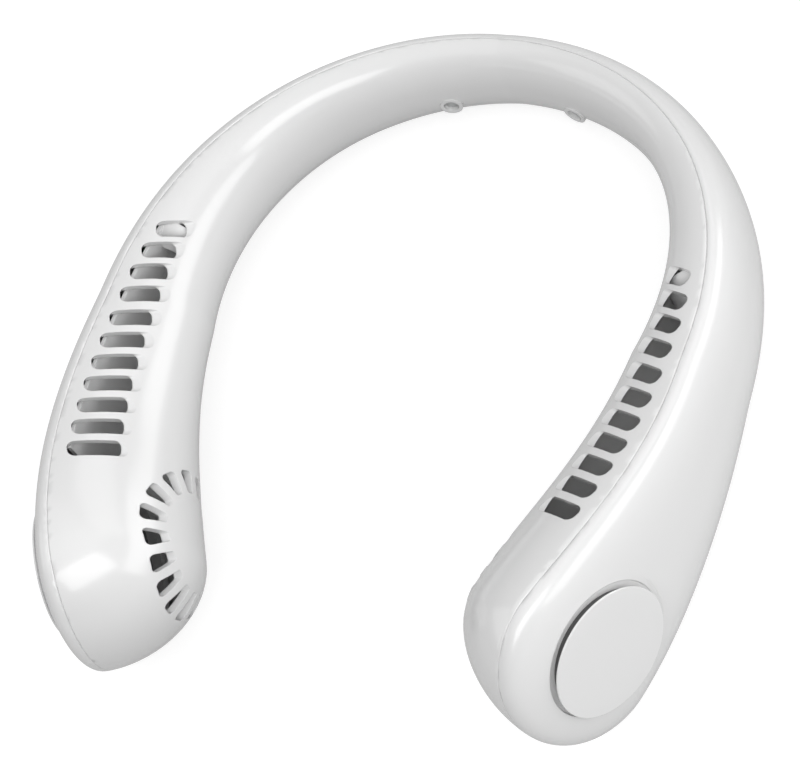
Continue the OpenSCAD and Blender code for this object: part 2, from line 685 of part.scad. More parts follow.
module board_screw_places() for (s = [-1, 1])
    translate([0, s * boss_y, boss_z]) children();
module board_shape() {
    difference() {
        translate([-board_t / 2, -board_len / 2, -board_low]) cube([board_t, board_len, board_h]);
        board_screw_places() translate([-board_t, 0, 0]) out_axis()
            cylinder(d = board_hole_d, h = 2 * board_t);
        translate([-board_t, usb_y - usb_w / 2 - fit_gap, -board_low - over])
            cube([2 * board_t, usb_w + 2 * fit_gap, usb_mouth() + usb_len + fit_gap + board_low + over]);
    }
}
chip_t = 0.9;
// Place along the board, place up it, length and height of each chip
chip_places = [[-3, -5, 6, 6], [8, -8, 4, 5], [-14, -1, 3, 4]];
module chips() for (c = chip_places)
    translate([-board_t / 2 - chip_t, c[0], c[1]]) cube([chip_t, c[2], c[3]]);
module stadium(w, t) {
    square([t, w - t], center = true);
    for (s = [-1, 1]) translate([0, s * (w - t) / 2]) circle(d = t);
}
module usb_port() translate([0, usb_y, usb_mouth()]) difference() {
    linear_extrude(usb_len) stadium(usb_w, usb_t);
    difference() {
        translate([0, 0, -over]) linear_extrude(usb_len - usb_shell + over)
            stadium(usb_w - 2 * usb_shell, usb_t - 2 * usb_shell);
        translate([-usb_tongue_t / 2, -usb_w / 2 + usb_t / 2, usb_shell + over])
            cube([usb_tongue_t, usb_w - usb_t, usb_len]);
    }
}
module usb_cut() translate([0, usb_y, usb_mouth() - usb_sunk - wall])
    linear_extrude(usb_len) stadium(usb_w + 2 * seat_gap, usb_t + 2 * seat_gap);
module button() translate([0, button_y, 0]) out_axis() {
    flange_low = wall_in - seat_gap - flange_t;
    translate([0, 0, button_low]) cylinder(d = plunger_d, h = flange_low + flange_t / 2 - button_low);
    translate([0, 0, flange_low]) cylinder(r = button_reach, h = flange_t);
    translate([0, 0, flange_low]) cylinder(r = button_r - button_edge, h = button_top - flange_low);
    translate([0, 0, flange_low]) cylinder(r = button_r, h = button_top - button_edge - flange_low);
}

// Wires follow the band at a share of the line, an offset outward and a height
lead_d = 1;
lead_sides = 5;
function lead_place(p) = let (s = share_station(p[0])) section_point(s, p[1], p[2]);
function flipped(p, side) = [side * p[0], p[1], p[2]];
function unit(v) = v / norm(v);
module lead(pts) {
    n = len(pts);
    dirs = [for (i = [0 : n - 1]) unit(pts[min(n - 1, i + 1)] - pts[max(0, i - 1)])];
    rings = [for (i = [0 : n - 1]) let (side = unit(cross(dirs[i], [0, 0, 1])), up = cross(side, dirs[i]))
        [for (j = [0 : lead_sides - 1]) let (a = 360 * j / lead_sides)
            pts[i] + lead_d / 2 * (cos(a) * side + sin(a) * up)]];
    placed() skin(rings, pts[0], last(pts));
}

hook_w = 5;
hook_t = 1.1;
hook_reach = 2.4;
hook_root = 2;
hook_gap = 0.3;

// Wall between the air duct and the wires and board outside it. At the back it bends
// towards the neck and closes the duct
duct_gap = 0.5;
duct_t = 1;
duct_steps = 18;
duct_first_share = 0.474;
duct_bend_share = 0.522;
duct_last_share = 0.872;
function duct_depth(u) = blend(inner_w(u) - wall - duct_gap - duct_t, hook_reach + duct_gap,
    ease((u - duct_first_share) / (duct_bend_share - duct_first_share)));
function duct_z(u, n) = (half_h(u) - wall) * pow(1 - pow(n / (inner_w(u) - wall), inner_power(u)),
    1 / inner_power(u)) - duct_gap;
function duct_ring(u) = let (s = share_station(u), near = duct_depth(u), far = near + duct_t,
    near_z = duct_z(u, near), far_z = duct_z(u, far))
    [section_point(s, -far, far_z), section_point(s, -near, near_z),
        section_point(s, -near, -near_z), section_point(s, -far, -far_z)];
function middle(v) = (v[0] + v[1] + v[2] + v[3]) / 4;
module duct_wall() {
    rings = [for (i = [0 : duct_steps]) duct_ring(blend(duct_first_share, duct_last_share, i / duct_steps))];
    placed() skin(rings, middle(rings[0]), middle(last(rings)));
}

module inner_shell() color(white_plastic) {
    difference() {
        union() {
            placed() inner_body();
            for (s = [0, 1]) mirror([s, 0, 0]) at_screw()
                translate([0, 0, screw_face + wall / 2])
                    cylinder(d = screw_boss_d, h = -screw_face - wall / 2, $fn = shell_fn);
        }
        placed() for (s = [0, 1]) mirror([s, 0, 0]) for (i = [0 : slot_count - 1]) slot_cut(i);
        for (s = [0, 1]) mirror([s, 0, 0]) {
            in_head() for (i = [0 : grille_count - 1]) grille_cut(i);
            at_screw() translate([0, 0, screw_face - over]) {
                cylinder(d = screw_pocket_d, h = screw_pocket_depth + over, $fn = shell_fn);
                cylinder(d = screw_d + 2 * fit_gap, h = over - 2 * screw_face, $fn = shell_fn);
            }
        }
        at_board() usb_cut();
    }
}

// Snap tongues of the outer shell, which reach inside the wall of the inner shell
// Half a facet of the cap's seat, so that its corners keep clear of the band's middle line
seat_turn = 90 / shell_fn;
function hook_edge(u) = let (v = u - hook_w / 2 / line_len, w = inner_w(v) - wall, p = inner_power(v))
    (half_h(v) - wall) * pow(1 - pow(hook_reach / w, p), 1 / p) - hook_gap;
module hook(u, s) at_share(u) scale([1, 1, s]) {
    edge = hook_edge(u);
    hull() {
        translate([0, -hook_w / 2, edge - hook_t]) cube([hook_root, hook_w, hook_t]);
        translate([-hook_reach, -hook_w / 2 + hook_gap, edge - hook_t])
            cube([hook_t, hook_w - 2 * hook_gap, hook_t - hook_gap]);
    }
    translate([hook_gap, -hook_w / 2, edge - hook_t]) cube([hook_root, hook_w, hook_t + wall]);
}
module outer_shell() color(white_plastic) {
    difference() {
        union() {
            placed() outer_body();
            for (m = [0, 1]) mirror([m, 0, 0]) {
                for (u = top_hook_shares) hook(u, 1);
                for (u = low_hook_shares) hook(u, -1);
                in_head() rotate([0, 0, seat_turn]) translate([0, 0, seat_inner_z])
                    cylinder(r = cap_r + cap_gap + wall, h = seat_t, $fn = 2 * shell_fn);
                at_screw() cylinder(d = screw_boss_d, h = screw_wall_out + wall / 2, $fn = shell_fn);
            }
            at_board() board_screw_places() translate([board_t / 2 + seat_gap, 0, 0]) out_axis()
                cylinder(d = board_boss_d, h = boss_end - board_t / 2 - seat_gap, $fn = shell_fn);
        }
        for (m = [0, 1]) mirror([m, 0, 0]) {
            in_head() {
                rotate([0, 0, seat_turn]) translate([0, 0, cap_seat_z])
                    cylinder(r = cap_r + cap_gap, h = cap_top_z, $fn = 2 * shell_fn);
                translate([0, 0, seat_inner_z - over]) {
                    pegs(peg_d + 2 * peg_gap, seat_t + 2 * over, $fn = shell_fn);
                    cylinder(r = tube_r + seat_gap, h = seat_t + 2 * over, $fn = shell_fn);
                }
                motor_screw_places() translate([0, 0, seat_inner_z - over])
                    cylinder(d = motor_screw_d + 2 * fit_gap, h = seat_t + 2 * over, $fn = shell_fn / 2);
            }
            at_screw() translate([0, 0, -over])
                cylinder(d = screw_d + fit_gap, h = screw_wall_out + over, $fn = shell_fn / 2);
        }
        at_board() {
            usb_cut();
            translate([0, button_y, 0]) out_axis() translate([0, 0, wall_in - over])
                cylinder(r = button_r + button_gap, h = 2 * wall + 2 * over, $fn = shell_fn);
            for (i = [0 : led_count - 1]) translate([0, led_y - i * led_pitch, led_z]) out_axis()
                translate([0, 0, board_t])
                    cylinder(d = led_pin_d + 2 * fit_gap, h = outer_arm, $fn = shell_fn / 2);
            board_screw_places() translate([board_t / 2, 0, 0]) out_axis()
                cylinder(d = board_hole_d - fit_gap, h = boss_end - board_t / 2 - wall / 2,
                    $fn = shell_fn / 2);
        }
    }
}

module cap_right() color(white_plastic) in_head() cap();
module cap_left() color(white_plastic) left() in_head() cap();
module impeller_right() color(grey_plastic) in_head() impeller();
module impeller_left() color(grey_plastic) left() in_head() impeller();
module rotor_cup_right() color(steel) in_head() rotor_cup();
module rotor_cup_left() color(steel) left() in_head() rotor_cup();
module magnet_ring_right() color(dark) in_head() magnet_ring();
module magnet_ring_left() color(dark) left() in_head() magnet_ring();
module fan_shaft_right() color(steel) in_head() fan_shaft();
module fan_shaft_left() color(steel) left() in_head() fan_shaft();
module bearings_right() color(steel) in_head() bearings();
module bearings_left() color(steel) left() in_head() bearings();
module stator_core_right() color(steel) in_head() stator_core();
module stator_core_left() color(steel) left() in_head() stator_core();
module stator_coils_right() color(copper) in_head() stator_coils();
module stator_coils_left() color(copper) left() in_head() stator_coils();
module motor_mount_right() color(steel) in_head() motor_mount();
module motor_mount_left() color(steel) left() in_head() motor_mount();
module motor_screws_right() color(steel) in_head() motor_screws();
module motor_screws_left() color(steel) left() in_head() motor_screws();
module scroll_right() color(dark) in_head() scroll();
module scroll_left() color(dark) left() in_head() scroll();
module inlet_ring_right() color(dark) in_head() inlet_ring();
module inlet_ring_left() color(dark) left() in_head() inlet_ring();
module rear_cell_right() color(cell_blue) cell(rear_cell_share, rear_cell_t);
module rear_cell_left() color(cell_blue) left() cell(rear_cell_share, rear_cell_t);
module front_cell_right() color(cell_blue) cell(front_cell_share, front_cell_t);
module front_cell_left() color(cell_blue) left() cell(front_cell_share, front_cell_t);
module cell_foam_right() color(foam_grey) {
    cell_foam(rear_cell_share);
    cell_foam(front_cell_share);
}
module cell_foam_left() color(foam_grey) left() {
    cell_foam(rear_cell_share);
    cell_foam(front_cell_share);
}
module duct_wall_right() color(white_plastic) duct_wall();
module duct_wall_left() color(white_plastic) left() duct_wall();
module control_board() color(board_green) at_board() {
    board_shape();
    chips();
}
module board_screws() color(steel) at_board() board_screw_places() {
    translate([-board_t / 2 - screw_head_t, 0, 0]) out_axis() cylinder(d = screw_head_d, h = screw_head_t);
    translate([-board_t / 2 - over, 0, 0]) out_axis()
        cylinder(d = board_hole_d - 2 * fit_gap, h = over + board_t + seat_gap + fit_gap);
}
module usb_c_port() color(steel) at_board() usb_port();
module tact_switch() color(dark) at_board() translate([board_t / 2, button_y, 0]) difference() {
    translate([0, -switch_w / 2, -switch_w / 2]) cube([switch_t, switch_w, switch_w]);
    translate([switch_t - plunger_deep - button_travel, 0, 0]) out_axis()
        cylinder(d = plunger_d + 2 * fit_gap, h = switch_t);
}
module switch_plunger() color(white_plastic) at_board()
    translate([switch_top - plunger_deep + fit_gap, button_y, 0])
        out_axis() cylinder(d = plunger_d, h = plunger_deep - fit_gap + plunger_stand);
module power_button() color(grey_plastic) at_board() button();
module indicator_leds() color(lamp_white) at_board() for (i = [0 : led_count - 1])
    translate([board_t / 2, led_y - i * led_pitch - led_w / 2, led_z - led_h / 2])
        cube([led_t, led_w, led_h]);
module light_pipe() color(clear_blue) at_board() {
    far_y = led_y - (led_count - 1) * led_pitch - pipe_w / 2;
    near_y = led_y + pipe_w / 2;
    low = min([for (y = [far_y, near_y]) wall_x(y, led_z + pipe_w / 2)]) - 2 * seat_gap - pipe_t;
    translate([low, far_y, led_z - pipe_w / 2]) cube([pipe_t, near_y - far_y, pipe_w]);
    for (i = [0 : led_count - 1]) translate([low, led_y - i * led_pitch, led_z]) out_axis()
        cylinder(d = led_pin_d, h = skin_x(led_y - i * led_pitch, led_z) - low - fit_gap);
}
module shell_screws() color(steel) for (s = [0, 1]) mirror([s, 0, 0]) at_screw()
    translate([0, 0, screw_head_seat]) {
        translate([0, 0, -screw_head_t]) cylinder(d = screw_head_d, h = screw_head_t);
        cylinder(d = screw_d - 2 * run_gap, h = screw_len);
    }

lead_step_share = 0.05;
lead_end_share = 0.86;
board_end_share = 0.51;
cell_end_share = 0.46;
function lead_z(u) = hook_edge(u) - hook_t - 2 * seat_gap - lead_d / 2;
// Depths of the wires that run side by side over the cells
lead_near = 0.2;
lead_far = 1.6;
function lead_at(u, n, s) = lead_place([abs(u), -n, s * lead_z(abs(u))]);
function lead_run(from, to, n, s) = let (steps = ceil((to - from) / lead_step_share))
    [for (i = [0 : steps]) let (u = from + (to - from) * i / steps)
        flipped(lead_at(u, n, s), u < 0 ? -1 : 1)];
module motor_lead_left() color(red_lead) left()
    lead(lead_run(board_share + board_len / 2 / line_len, lead_end_share, lead_far, -1));
module motor_lead_right() color(red_lead) lead(lead_run(-board_end_share, lead_end_share, lead_near, 1));
module battery_lead() color(dark) lead(lead_run(-board_end_share, cell_end_share, lead_far, 1));

inner_shell();
outer_shell();
cap_right();
cap_left();
impeller_right();
impeller_left();
rotor_cup_right();
rotor_cup_left();
magnet_ring_right();
magnet_ring_left();
fan_shaft_right();
fan_shaft_left();
bearings_right();
bearings_left();
stator_core_right();
stator_core_left();
stator_coils_right();
stator_coils_left();
motor_mount_right();
motor_mount_left();
motor_screws_right();
motor_screws_left();
scroll_right();
scroll_left();
inlet_ring_right();
inlet_ring_left();
rear_cell_right();
rear_cell_left();
front_cell_right();
front_cell_left();
cell_foam_right();
cell_foam_left();
duct_wall_right();
duct_wall_left();
control_board();
board_screws();
usb_c_port();
tact_switch();
switch_plunger();
power_button();
indicator_leds();
light_pipe();
shell_screws();
motor_lead_right();
motor_lead_left();
battery_lead();
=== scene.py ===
"""Electric neck fan of glossy white plastic: two moulded shells that meet on a fine seam, slotted arms
and a round head at each end, with a small blower behind a radial grille in each head."""
import math

import bmesh
import bpy
from mathutils import Matrix, Vector
from mathutils.bvhtree import BVHTree


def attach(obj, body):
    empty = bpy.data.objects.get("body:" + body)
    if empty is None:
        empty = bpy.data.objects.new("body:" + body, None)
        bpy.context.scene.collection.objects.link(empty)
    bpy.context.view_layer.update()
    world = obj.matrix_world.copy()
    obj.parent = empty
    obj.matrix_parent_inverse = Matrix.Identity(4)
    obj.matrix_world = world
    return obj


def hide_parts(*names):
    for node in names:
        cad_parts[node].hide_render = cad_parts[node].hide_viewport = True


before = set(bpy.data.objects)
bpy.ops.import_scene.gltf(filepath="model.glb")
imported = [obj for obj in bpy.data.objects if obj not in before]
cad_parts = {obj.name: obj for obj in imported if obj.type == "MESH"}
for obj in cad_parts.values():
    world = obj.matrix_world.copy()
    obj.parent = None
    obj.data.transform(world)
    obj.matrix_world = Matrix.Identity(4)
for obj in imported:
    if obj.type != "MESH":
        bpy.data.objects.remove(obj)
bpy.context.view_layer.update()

# Sizes in millimetres and degrees, the same as in the CAD model. Shares are of the line of the band
MM = 0.001
BACK_Y = 97.6
SIDE_X = 85.8
SIDE_Y = 9.6
HEAD_X = 72.3
HEAD_Y = 69.3
TOE_IN = 22.6
BACK_PULL = 43.2
SIDE_PULL_BACK = 55.5
SIDE_PULL_FRONT = 10.8
HEAD_PULL = 44.0
TIP_REACH = 24.3
HEAD_R = 30.0
BACK_H = 26.1
ARM_H = 42.1
OUTER_DEPTHS = (5.35, 8.8, 7.25)
INNER_DEPTHS = (8.25, 13.45, 32.2)
LEANS = (-5.6, 7.8)
OUTER_POWERS = (1.8, 2.83)
INNER_POWERS = (2.5, 1.86)
SWELL_POWER = 2.5
SWELL_START = 0.45
SIDE_SWELL_START = 0.22
RISE_START = 0.02
WALL = 2.0
LINE_PART = 0.87
TIP_END = 0.999999
MID_Y = 5.33633
LOW_Z = -30.442

SLOT_COUNT = 11
SLOT_LENS = (9.6, 15.0)
SLOT_GROWTH = 0.7
SLOT_REACHES = (6.0, 7.4)
HOLE_REACHES = (5.1, 7.0)
HOLE_UNDERCUT = 4.5
HOLE_EDGE_DROP = 1.5
SCOOP_REACHES = (6.9, 8.3)
SCOOP_HEIGHTS = (1.6, 2.0)
SCOOP_FLARE = 1.6
SCOOP_OVER = 2.0
SLOT_W = 4.8
SLOT_CORNER = 1.9
SLOT_TURN = 19.0
SLOT_LEAN = 48.0
SLOT_FALL = 25.0
SLOT_ANGLE = 22.0
SLOT_INSIDE = 6.0
SLOT_SHARES = (0.531, 0.877)

GRILLE_COUNT = 16
GRILLE_IN_R = 13.3
GRILLE_OUT_R = 19.6
GRILLE_IN_W = 2.7
GRILLE_OUT_W = 4.7
GRILLE_IN_CORNER = 0.6
GRILLE_OUT_CORNER = 1.2
GRILLE_TURN = 14.0
GRILLE_RISE = 1.0
GRILLE_FORE = 0.5
GRILLE_TOP = 14.0
GRILLE_OVER = 1.0

FAN_BACK = 3.8
CAP_R = 17.9
CAP_GAP = 0.6
CAP_TOP = 8.85
CAP_SEAT = 5.6
CAP_EDGE_R = 0.22
CAP_EDGE_T = 0.45
CAP_LIP = 1.8
CAP_SKIN = 1.5
CAP_RIM = 1.6
CAP_NECK_DROP = 1.08
CAP_CROWN = 0.2
CAP_CROWN_STEPS = ((0, 0), (7, 0.15), (13, 0.52), (CAP_R, 1))
SEAT_T = 2.0
SEAT_MARGIN = 1.8
SEAT_BITE = 0.02
OUTER_OVER = 4.0

SCREW_SHARE = 0.097
SCREW_DROP = 0.42
SCREW_POCKET_R = 2.1
SCREW_POCKET_DEPTH = 2.0
SCREW_POCKET_OVER = 1.0
BOSS_R = 3.2
INNER_BOSS_SPAN = (-9.0, -0.05)
OUTER_BOSS_SPAN = (0.05, 4.2)
BOARD_SHARE = 0.61
BUTTON_Y = 7.0
BUTTON_R = 4.5
BUTTON_GAP = 0.25
BUTTON_HOLE_SPAN = (3.5, 12.0)
BUTTON_PROUD = 0.5
BUTTON_DISH = 0.3
BUTTON_DISH_R = 2.025
BUTTON_DISH_DROP = 0.24
BUTTON_FLAT_W = 0.45
BUTTON_FLAT_DROP = 0.02
BUTTON_EDGE_R = 0.4
BUTTON_LOW = 2.9
USB_Y = -10.0
USB_W = 8.94
USB_T = 3.26
USB_LEN = 7.3
USB_GAP = 0.6
USB_OVER = 0.5
USB_FLAT = 0.01
LED_COUNT = 4
LED_PITCH = 3.2
LED_Y = -4.7
LED_Z = 5.0
LED_PIN_R = 0.7
LED_GAP = 0.15
LED_HOLE_SPAN = (1.2, 12.0)
RISE_SPAN = 0.05
DUCT_SHARES = (0.474, 0.522, 0.872)
DUCT_GAP = 0.5
DUCT_T = 1.0
DUCT_DEPTH = 2.9
DUCT_END_SHARES = (0.516, 0.547)
DUCT_END_DROP = 5.0
DUCT_END_CURVE = 1.5
DUCT_END_T = 0.8

# The seam's groove: how far from the seam, and how deep
SEAM_GROOVE = ((0.0, 0.3), (0.11, 0.13), (0.26, 0.0))

# Counts of steps in the meshes
LINE_STEPS = 160
ALONG_STEPS = 380
SKIN_ROWS = 52
CAVITY_ROWS = 20
CORNER_STEPS = 8
EDGE_STEPS = 10
WEDGE_STEPS = 24
LED_STEPS = 32
SCREW_STEPS = 48
BUTTON_STEPS = 96
CAP_STEPS = 160
RECESS_STEPS = 192
DUCT_STEPS = 160
DUCT_CORNERS = 4
DUCT_END_STEPS = 12
DUCT_END_ROWS = 14

# Meshes: points closer than the weld are one, and a normal is taken from skin no further off than the reach
WELD = 1e-7
FLAT_ANGLE = 0.01
CREASE_ANGLE = 30
BUTTON_CREASE_ANGLE = 35
SHELL_CREASE_ANGLE = 32
SKIN_REACH = 0.0001
SAME_FACING = 0.8
SAME_NORMAL = 0.7

# The camera, fitted to the photograph
CAMERA_PLACE = (0.45290730, -0.30439720, 0.82644138)
CAMERA_RIGHT = (0.87762776, 0.26746533, -0.39778363)
CAMERA_UP = (-0.10048194, 0.91406786, 0.39291644)
CAMERA_BACK = (0.46869275, -0.30486430, 0.82908676)
CAMERA_LENS = 165.64
CAMERA_SENSOR = 36.0
CAMERA_CLIP = (0.01, 20.0)

# Studio light
AIM = (0, 0, 0.03)
FLOOR_SIZE = 4.0
FLOOR_BASE = 0.42
FLOOR_ROUGHNESS = 0.9
FLOOR_GLOW = 0.72
REFLECTED_SHARE = 0.25
WORLD_LIGHT = 0.42
SOFTBOXES = (
    ("right_softbox", (1.24, 0.50, 0.36), (2.1, 0.68), 8.6),
    ("front_right_softbox", (0.72, -0.64, 1.06), (1.3, 0.75), 7.5),
    ("back_softbox", (0.35, 1.0, 0.95), (1.2, 0.5), 1.5),
    ("top_softbox", (0, 0, 1.7), (2.4, 2.4), 8.0),
    ("left_fill", (-1.2, -0.3, 0.7), (1.0, 0.7), 1.5),
)

# Noise in the materials: scale per metre, detail and roughness
DRIFT_NOISE = (22, 3, 0.5)
POLISH_NOISE = (160, 4, 0.6)
SINK_NOISE = (45, 2, 0.5)
PORE_NOISE = (2600, 2, 0.5)
TARNISH_NOISE = (220, 4, 0.5)
GRIND_NOISE = (1400, 3, 0.5)
FLOW_NOISE = (400, 2, 0.5)
NOISE_SPAN = (0.3, 0.7)
POLISH_SHARES = (0.88, 1.12)
GRIND_SHARES = (0.75, 1.3)
TARNISH_SHARE = 0.86
PLASTIC_IOR = 1.5
CLEAR_IOR = 1.49
COAT_ROUGHNESS = 0.14
SINK_DEPTH = 0.0008
PORE_DEPTH = 0.0001
GRIND_DEPTH = 0.00005
BEVEL_SAMPLES = 6
PLAIN_WHITE = (0.80, 0.80, 0.80)


def blend(a, b, share):
    return a + (b - a) * share


def ease(value):
    v = min(1.0, max(0.0, value))
    return v * v * (3.0 - 2.0 * v)


# The line of the band in plan, from the middle of the back to the right head
TIP_DIR = Vector((-math.sin(math.radians(TOE_IN)), -math.cos(math.radians(TOE_IN))))
HEAD_C = Vector((HEAD_X, -HEAD_Y))
BACK_CURVE = (Vector((0, BACK_Y)), Vector((BACK_PULL, BACK_Y)),
              Vector((SIDE_X, SIDE_Y + SIDE_PULL_BACK)), Vector((SIDE_X, SIDE_Y)))
SIDE_CURVE = (Vector((SIDE_X, SIDE_Y)), Vector((SIDE_X, SIDE_Y - SIDE_PULL_FRONT)),
              HEAD_C - HEAD_PULL * TIP_DIR, HEAD_C)


def on_curve(c, t):
    s = 1.0 - t
    return c[0] * s ** 3 + c[1] * 3 * s * s * t + c[2] * 3 * s * t * t + c[3] * t ** 3


def along_curve(c, t):
    s = 1.0 - t
    return (c[1] - c[0]) * 3 * s * s + (c[2] - c[1]) * 6 * s * t + (c[3] - c[2]) * 3 * t * t


def line_table(steps):
    rows = [(on_curve(BACK_CURVE, i / steps), along_curve(BACK_CURVE, i / steps)) for i in range(steps + 1)]
    rows += [(on_curve(SIDE_CURVE, i / steps), along_curve(SIDE_CURVE, i / steps))
             for i in range(1, steps + 1)]
    run = 0.0
    table = []
    for i, (place, way) in enumerate(rows):
        if i:
            run += (place - rows[i - 1][0]).length
        table.append((run, place, math.atan2(way[0], -way[1])))
    return table


LINE = line_table(LINE_STEPS)
LINE_LEN = LINE[-1][0]


def line_at(u):
    """Place in plan and direction of the outward normal, at a share u of the line"""
    side = -1 if u < 0 else 1
    run = min(abs(u), 1.0) * LINE_LEN
    low, high = 0, len(LINE) - 1
    while high - low > 1:
        mid = (low + high) // 2
        if LINE[mid][0] <= run:
            low = mid
        else:
            high = mid
    a, b = LINE[low], LINE[high]
    t = (run - a[0]) / (b[0] - a[0])
    place = a[1].lerp(b[1], t)
    turn = blend(a[2], b[2], t)
    if side < 0:
        return Vector((-place[0], place[1])), math.pi - turn
    return place, turn


# The cross-section at a share u of the line
def swell(u):
    return ease((u - SWELL_START) / (1 - SWELL_START)) ** SWELL_POWER


def side_swell(u):
    return ease((u - SIDE_SWELL_START) / (1 - SIDE_SWELL_START))


def half_h(u):
    return blend(BACK_H / 2, ARM_H / 2, u) + (HEAD_R - ARM_H / 2) * swell(u)


def depth_at(depths, u):
    return blend(depths[0], depths[1], u) + (depths[2] - depths[1]) * side_swell(u)


def lean_at(u):
    return math.radians(blend(LEANS[0], LEANS[1], u))


def centre_z(u):
    return (BACK_H / 2 - HEAD_R) * (1 - ease((u - RISE_START) / (1 - RISE_START)))


def side_depth(w, power, k, q):
    inside = math.sqrt(max(0.0, 1 - (1 - q * q) * k * k))
    return w * max(0.0, 1 - inside ** power) ** (1 / power)


def band_station(t, shrink):
    """Place in plan, direction, share, and scale round the tip, for t from -1 at the left tip to 1"""
    size = abs(t)
    if size <= LINE_PART:
        place, turn = line_at(size / LINE_PART)
        u, k = size / LINE_PART, 1.0
    else:
        a = math.radians(90 * (size - LINE_PART) / (1 - LINE_PART))
        place = HEAD_C + TIP_DIR * (TIP_REACH - shrink) * math.sin(a)
        turn, u, k = line_at(1.0)[1], 1.0, math.cos(a)
        if size > TIP_END:
            k = 0.0
    return place, turn, u, k


def datum_to_frame(x, y, z):
    return Vector((x, y - MID_Y, z - LOW_Z)) * MM


def band_point(t, q, side, shrink):
    """Point on the skin: side 1 is the outer shell and -1 the inner one, q the share of the half height"""
    place, turn, u, k = band_station(t, shrink)
    depths, powers = (OUTER_DEPTHS, OUTER_POWERS) if side > 0 else (INNER_DEPTHS, INNER_POWERS)
    n = side * side_depth(depth_at(depths, u) - shrink, blend(powers[0], powers[1], u), k, q)
    z = q * (half_h(u) - shrink) * k
    lean = lean_at(u)
    out = n * math.cos(lean) - z * math.sin(lean)
    x = place[0] + out * math.cos(turn)
    y = place[1] + out * math.sin(turn)
    if t < 0:
        x = -x
    return datum_to_frame(x, y, centre_z(u) + n * math.sin(lean) + z * math.cos(lean))


def near_seam_share(t, n, side):
    """The share of the half height at which the skin stands n out from the seam"""
    u = band_station(t, 0)[2]
    depths, powers = (OUTER_DEPTHS, OUTER_POWERS) if side > 0 else (INNER_DEPTHS, INNER_POWERS)
    power = blend(powers[0], powers[1], u)
    return (1 - (n / depth_at(depths, u)) ** power) ** (1 / power)


# Frames to build in
def turned(angle, axis):
    return Matrix.Rotation(math.radians(angle), 4, axis)


def moved(x, y, z):
    return Matrix.Translation((x * MM, y * MM, z * MM))


def share_frame(u):
    """+X is outward, +Y runs back along the band, at a share u of the line on the right"""
    place, turn = line_at(u)
    rise = math.atan((centre_z(u + RISE_SPAN) - centre_z(u - RISE_SPAN)) / (2 * RISE_SPAN * LINE_LEN))
    start = Matrix.Translation(datum_to_frame(place[0], place[1], centre_z(u)))
    return (start @ Matrix.Rotation(turn, 4, "Z") @ Matrix.Rotation(-rise, 4, "X")
            @ Matrix.Rotation(-lean_at(u), 4, "Y"))


def head_frame():
    """+Z is the fan's axis, pointing outward, on the right"""
    start = Matrix.Translation(datum_to_frame(HEAD_X, -HEAD_Y, 0))
    return start @ turned(-TOE_IN, "Z") @ turned(-LEANS[1], "Y") @ moved(0, FAN_BACK, 0) @ turned(90, "Y")


HEAD = head_frame()
BOARD = share_frame(BOARD_SHARE)
OUT = turned(90, "Y")
LEFT = Matrix.Diagonal((-1, 1, 1, 1))


def put(bm, matrix):
    """Moves the whole mesh, and turns its faces outward again after a mirror"""
    bmesh.ops.transform(bm, matrix=matrix, verts=bm.verts)
    if matrix.determinant() < 0:
        bmesh.ops.reverse_faces(bm, faces=bm.faces)


def as_object(name, bm, material):
    mesh = bpy.data.meshes.new(name)
    bm.to_mesh(mesh)
    bm.free()
    piece = bpy.data.objects.new(name, mesh)
    bpy.context.scene.collection.objects.link(piece)
    if material:
        mesh.materials.append(material)
    return piece


def smooth_by_angle(piece, angle):
    """Smooth shading, with the edges sharper than the angle kept crisp"""
    bm = bmesh.new()
    bm.from_mesh(piece.data)
    for face in bm.faces:
        face.smooth = True
    for edge in bm.edges:
        edge.smooth = not edge.is_manifold or edge.calc_face_angle(0.0) < math.radians(angle)
    bm.to_mesh(piece.data)
    bm.free()


# Materials
def node_tree(name):
    material = bpy.data.materials.new(name)
    material.use_nodes = True
    nodes = material.node_tree.nodes
    return material, nodes, material.node_tree.links, nodes["Principled BSDF"]


def set_inputs(node, values):
    for socket, value in values.items():
        node.inputs[socket].default_value = value


def object_place(nodes):
    return nodes.new("ShaderNodeTexCoord").outputs["Object"]


def add_noise(nodes, links, place, kind):
    noise = nodes.new("ShaderNodeTexNoise")
    set_inputs(noise, {"Scale": kind[0], "Detail": kind[1], "Roughness": kind[2]})
    links.new(place, noise.inputs["Vector"])
    return noise.outputs["Fac"]


def add_range(nodes, links, value, low, high):
    spread = nodes.new("ShaderNodeMapRange")
    set_inputs(spread, {"From Min": NOISE_SPAN[0], "From Max": NOISE_SPAN[1], "To Min": low, "To Max": high})
    links.new(value, spread.inputs["Value"])
    return spread.outputs["Result"]


def add_tint(nodes, links, value, dark, light):
    ramp = nodes.new("ShaderNodeValToRGB")
    for element, share, colour in zip(ramp.color_ramp.elements, NOISE_SPAN, (dark, light)):
        element.position = share
        element.color = (*colour, 1)
    links.new(value, ramp.inputs["Fac"])
    return ramp.outputs["Color"]


def add_bump(nodes, links, height, strength, distance):
    bump = nodes.new("ShaderNodeBump")
    set_inputs(bump, {"Strength": strength, "Distance": distance})
    links.new(height, bump.inputs["Height"])
    return bump


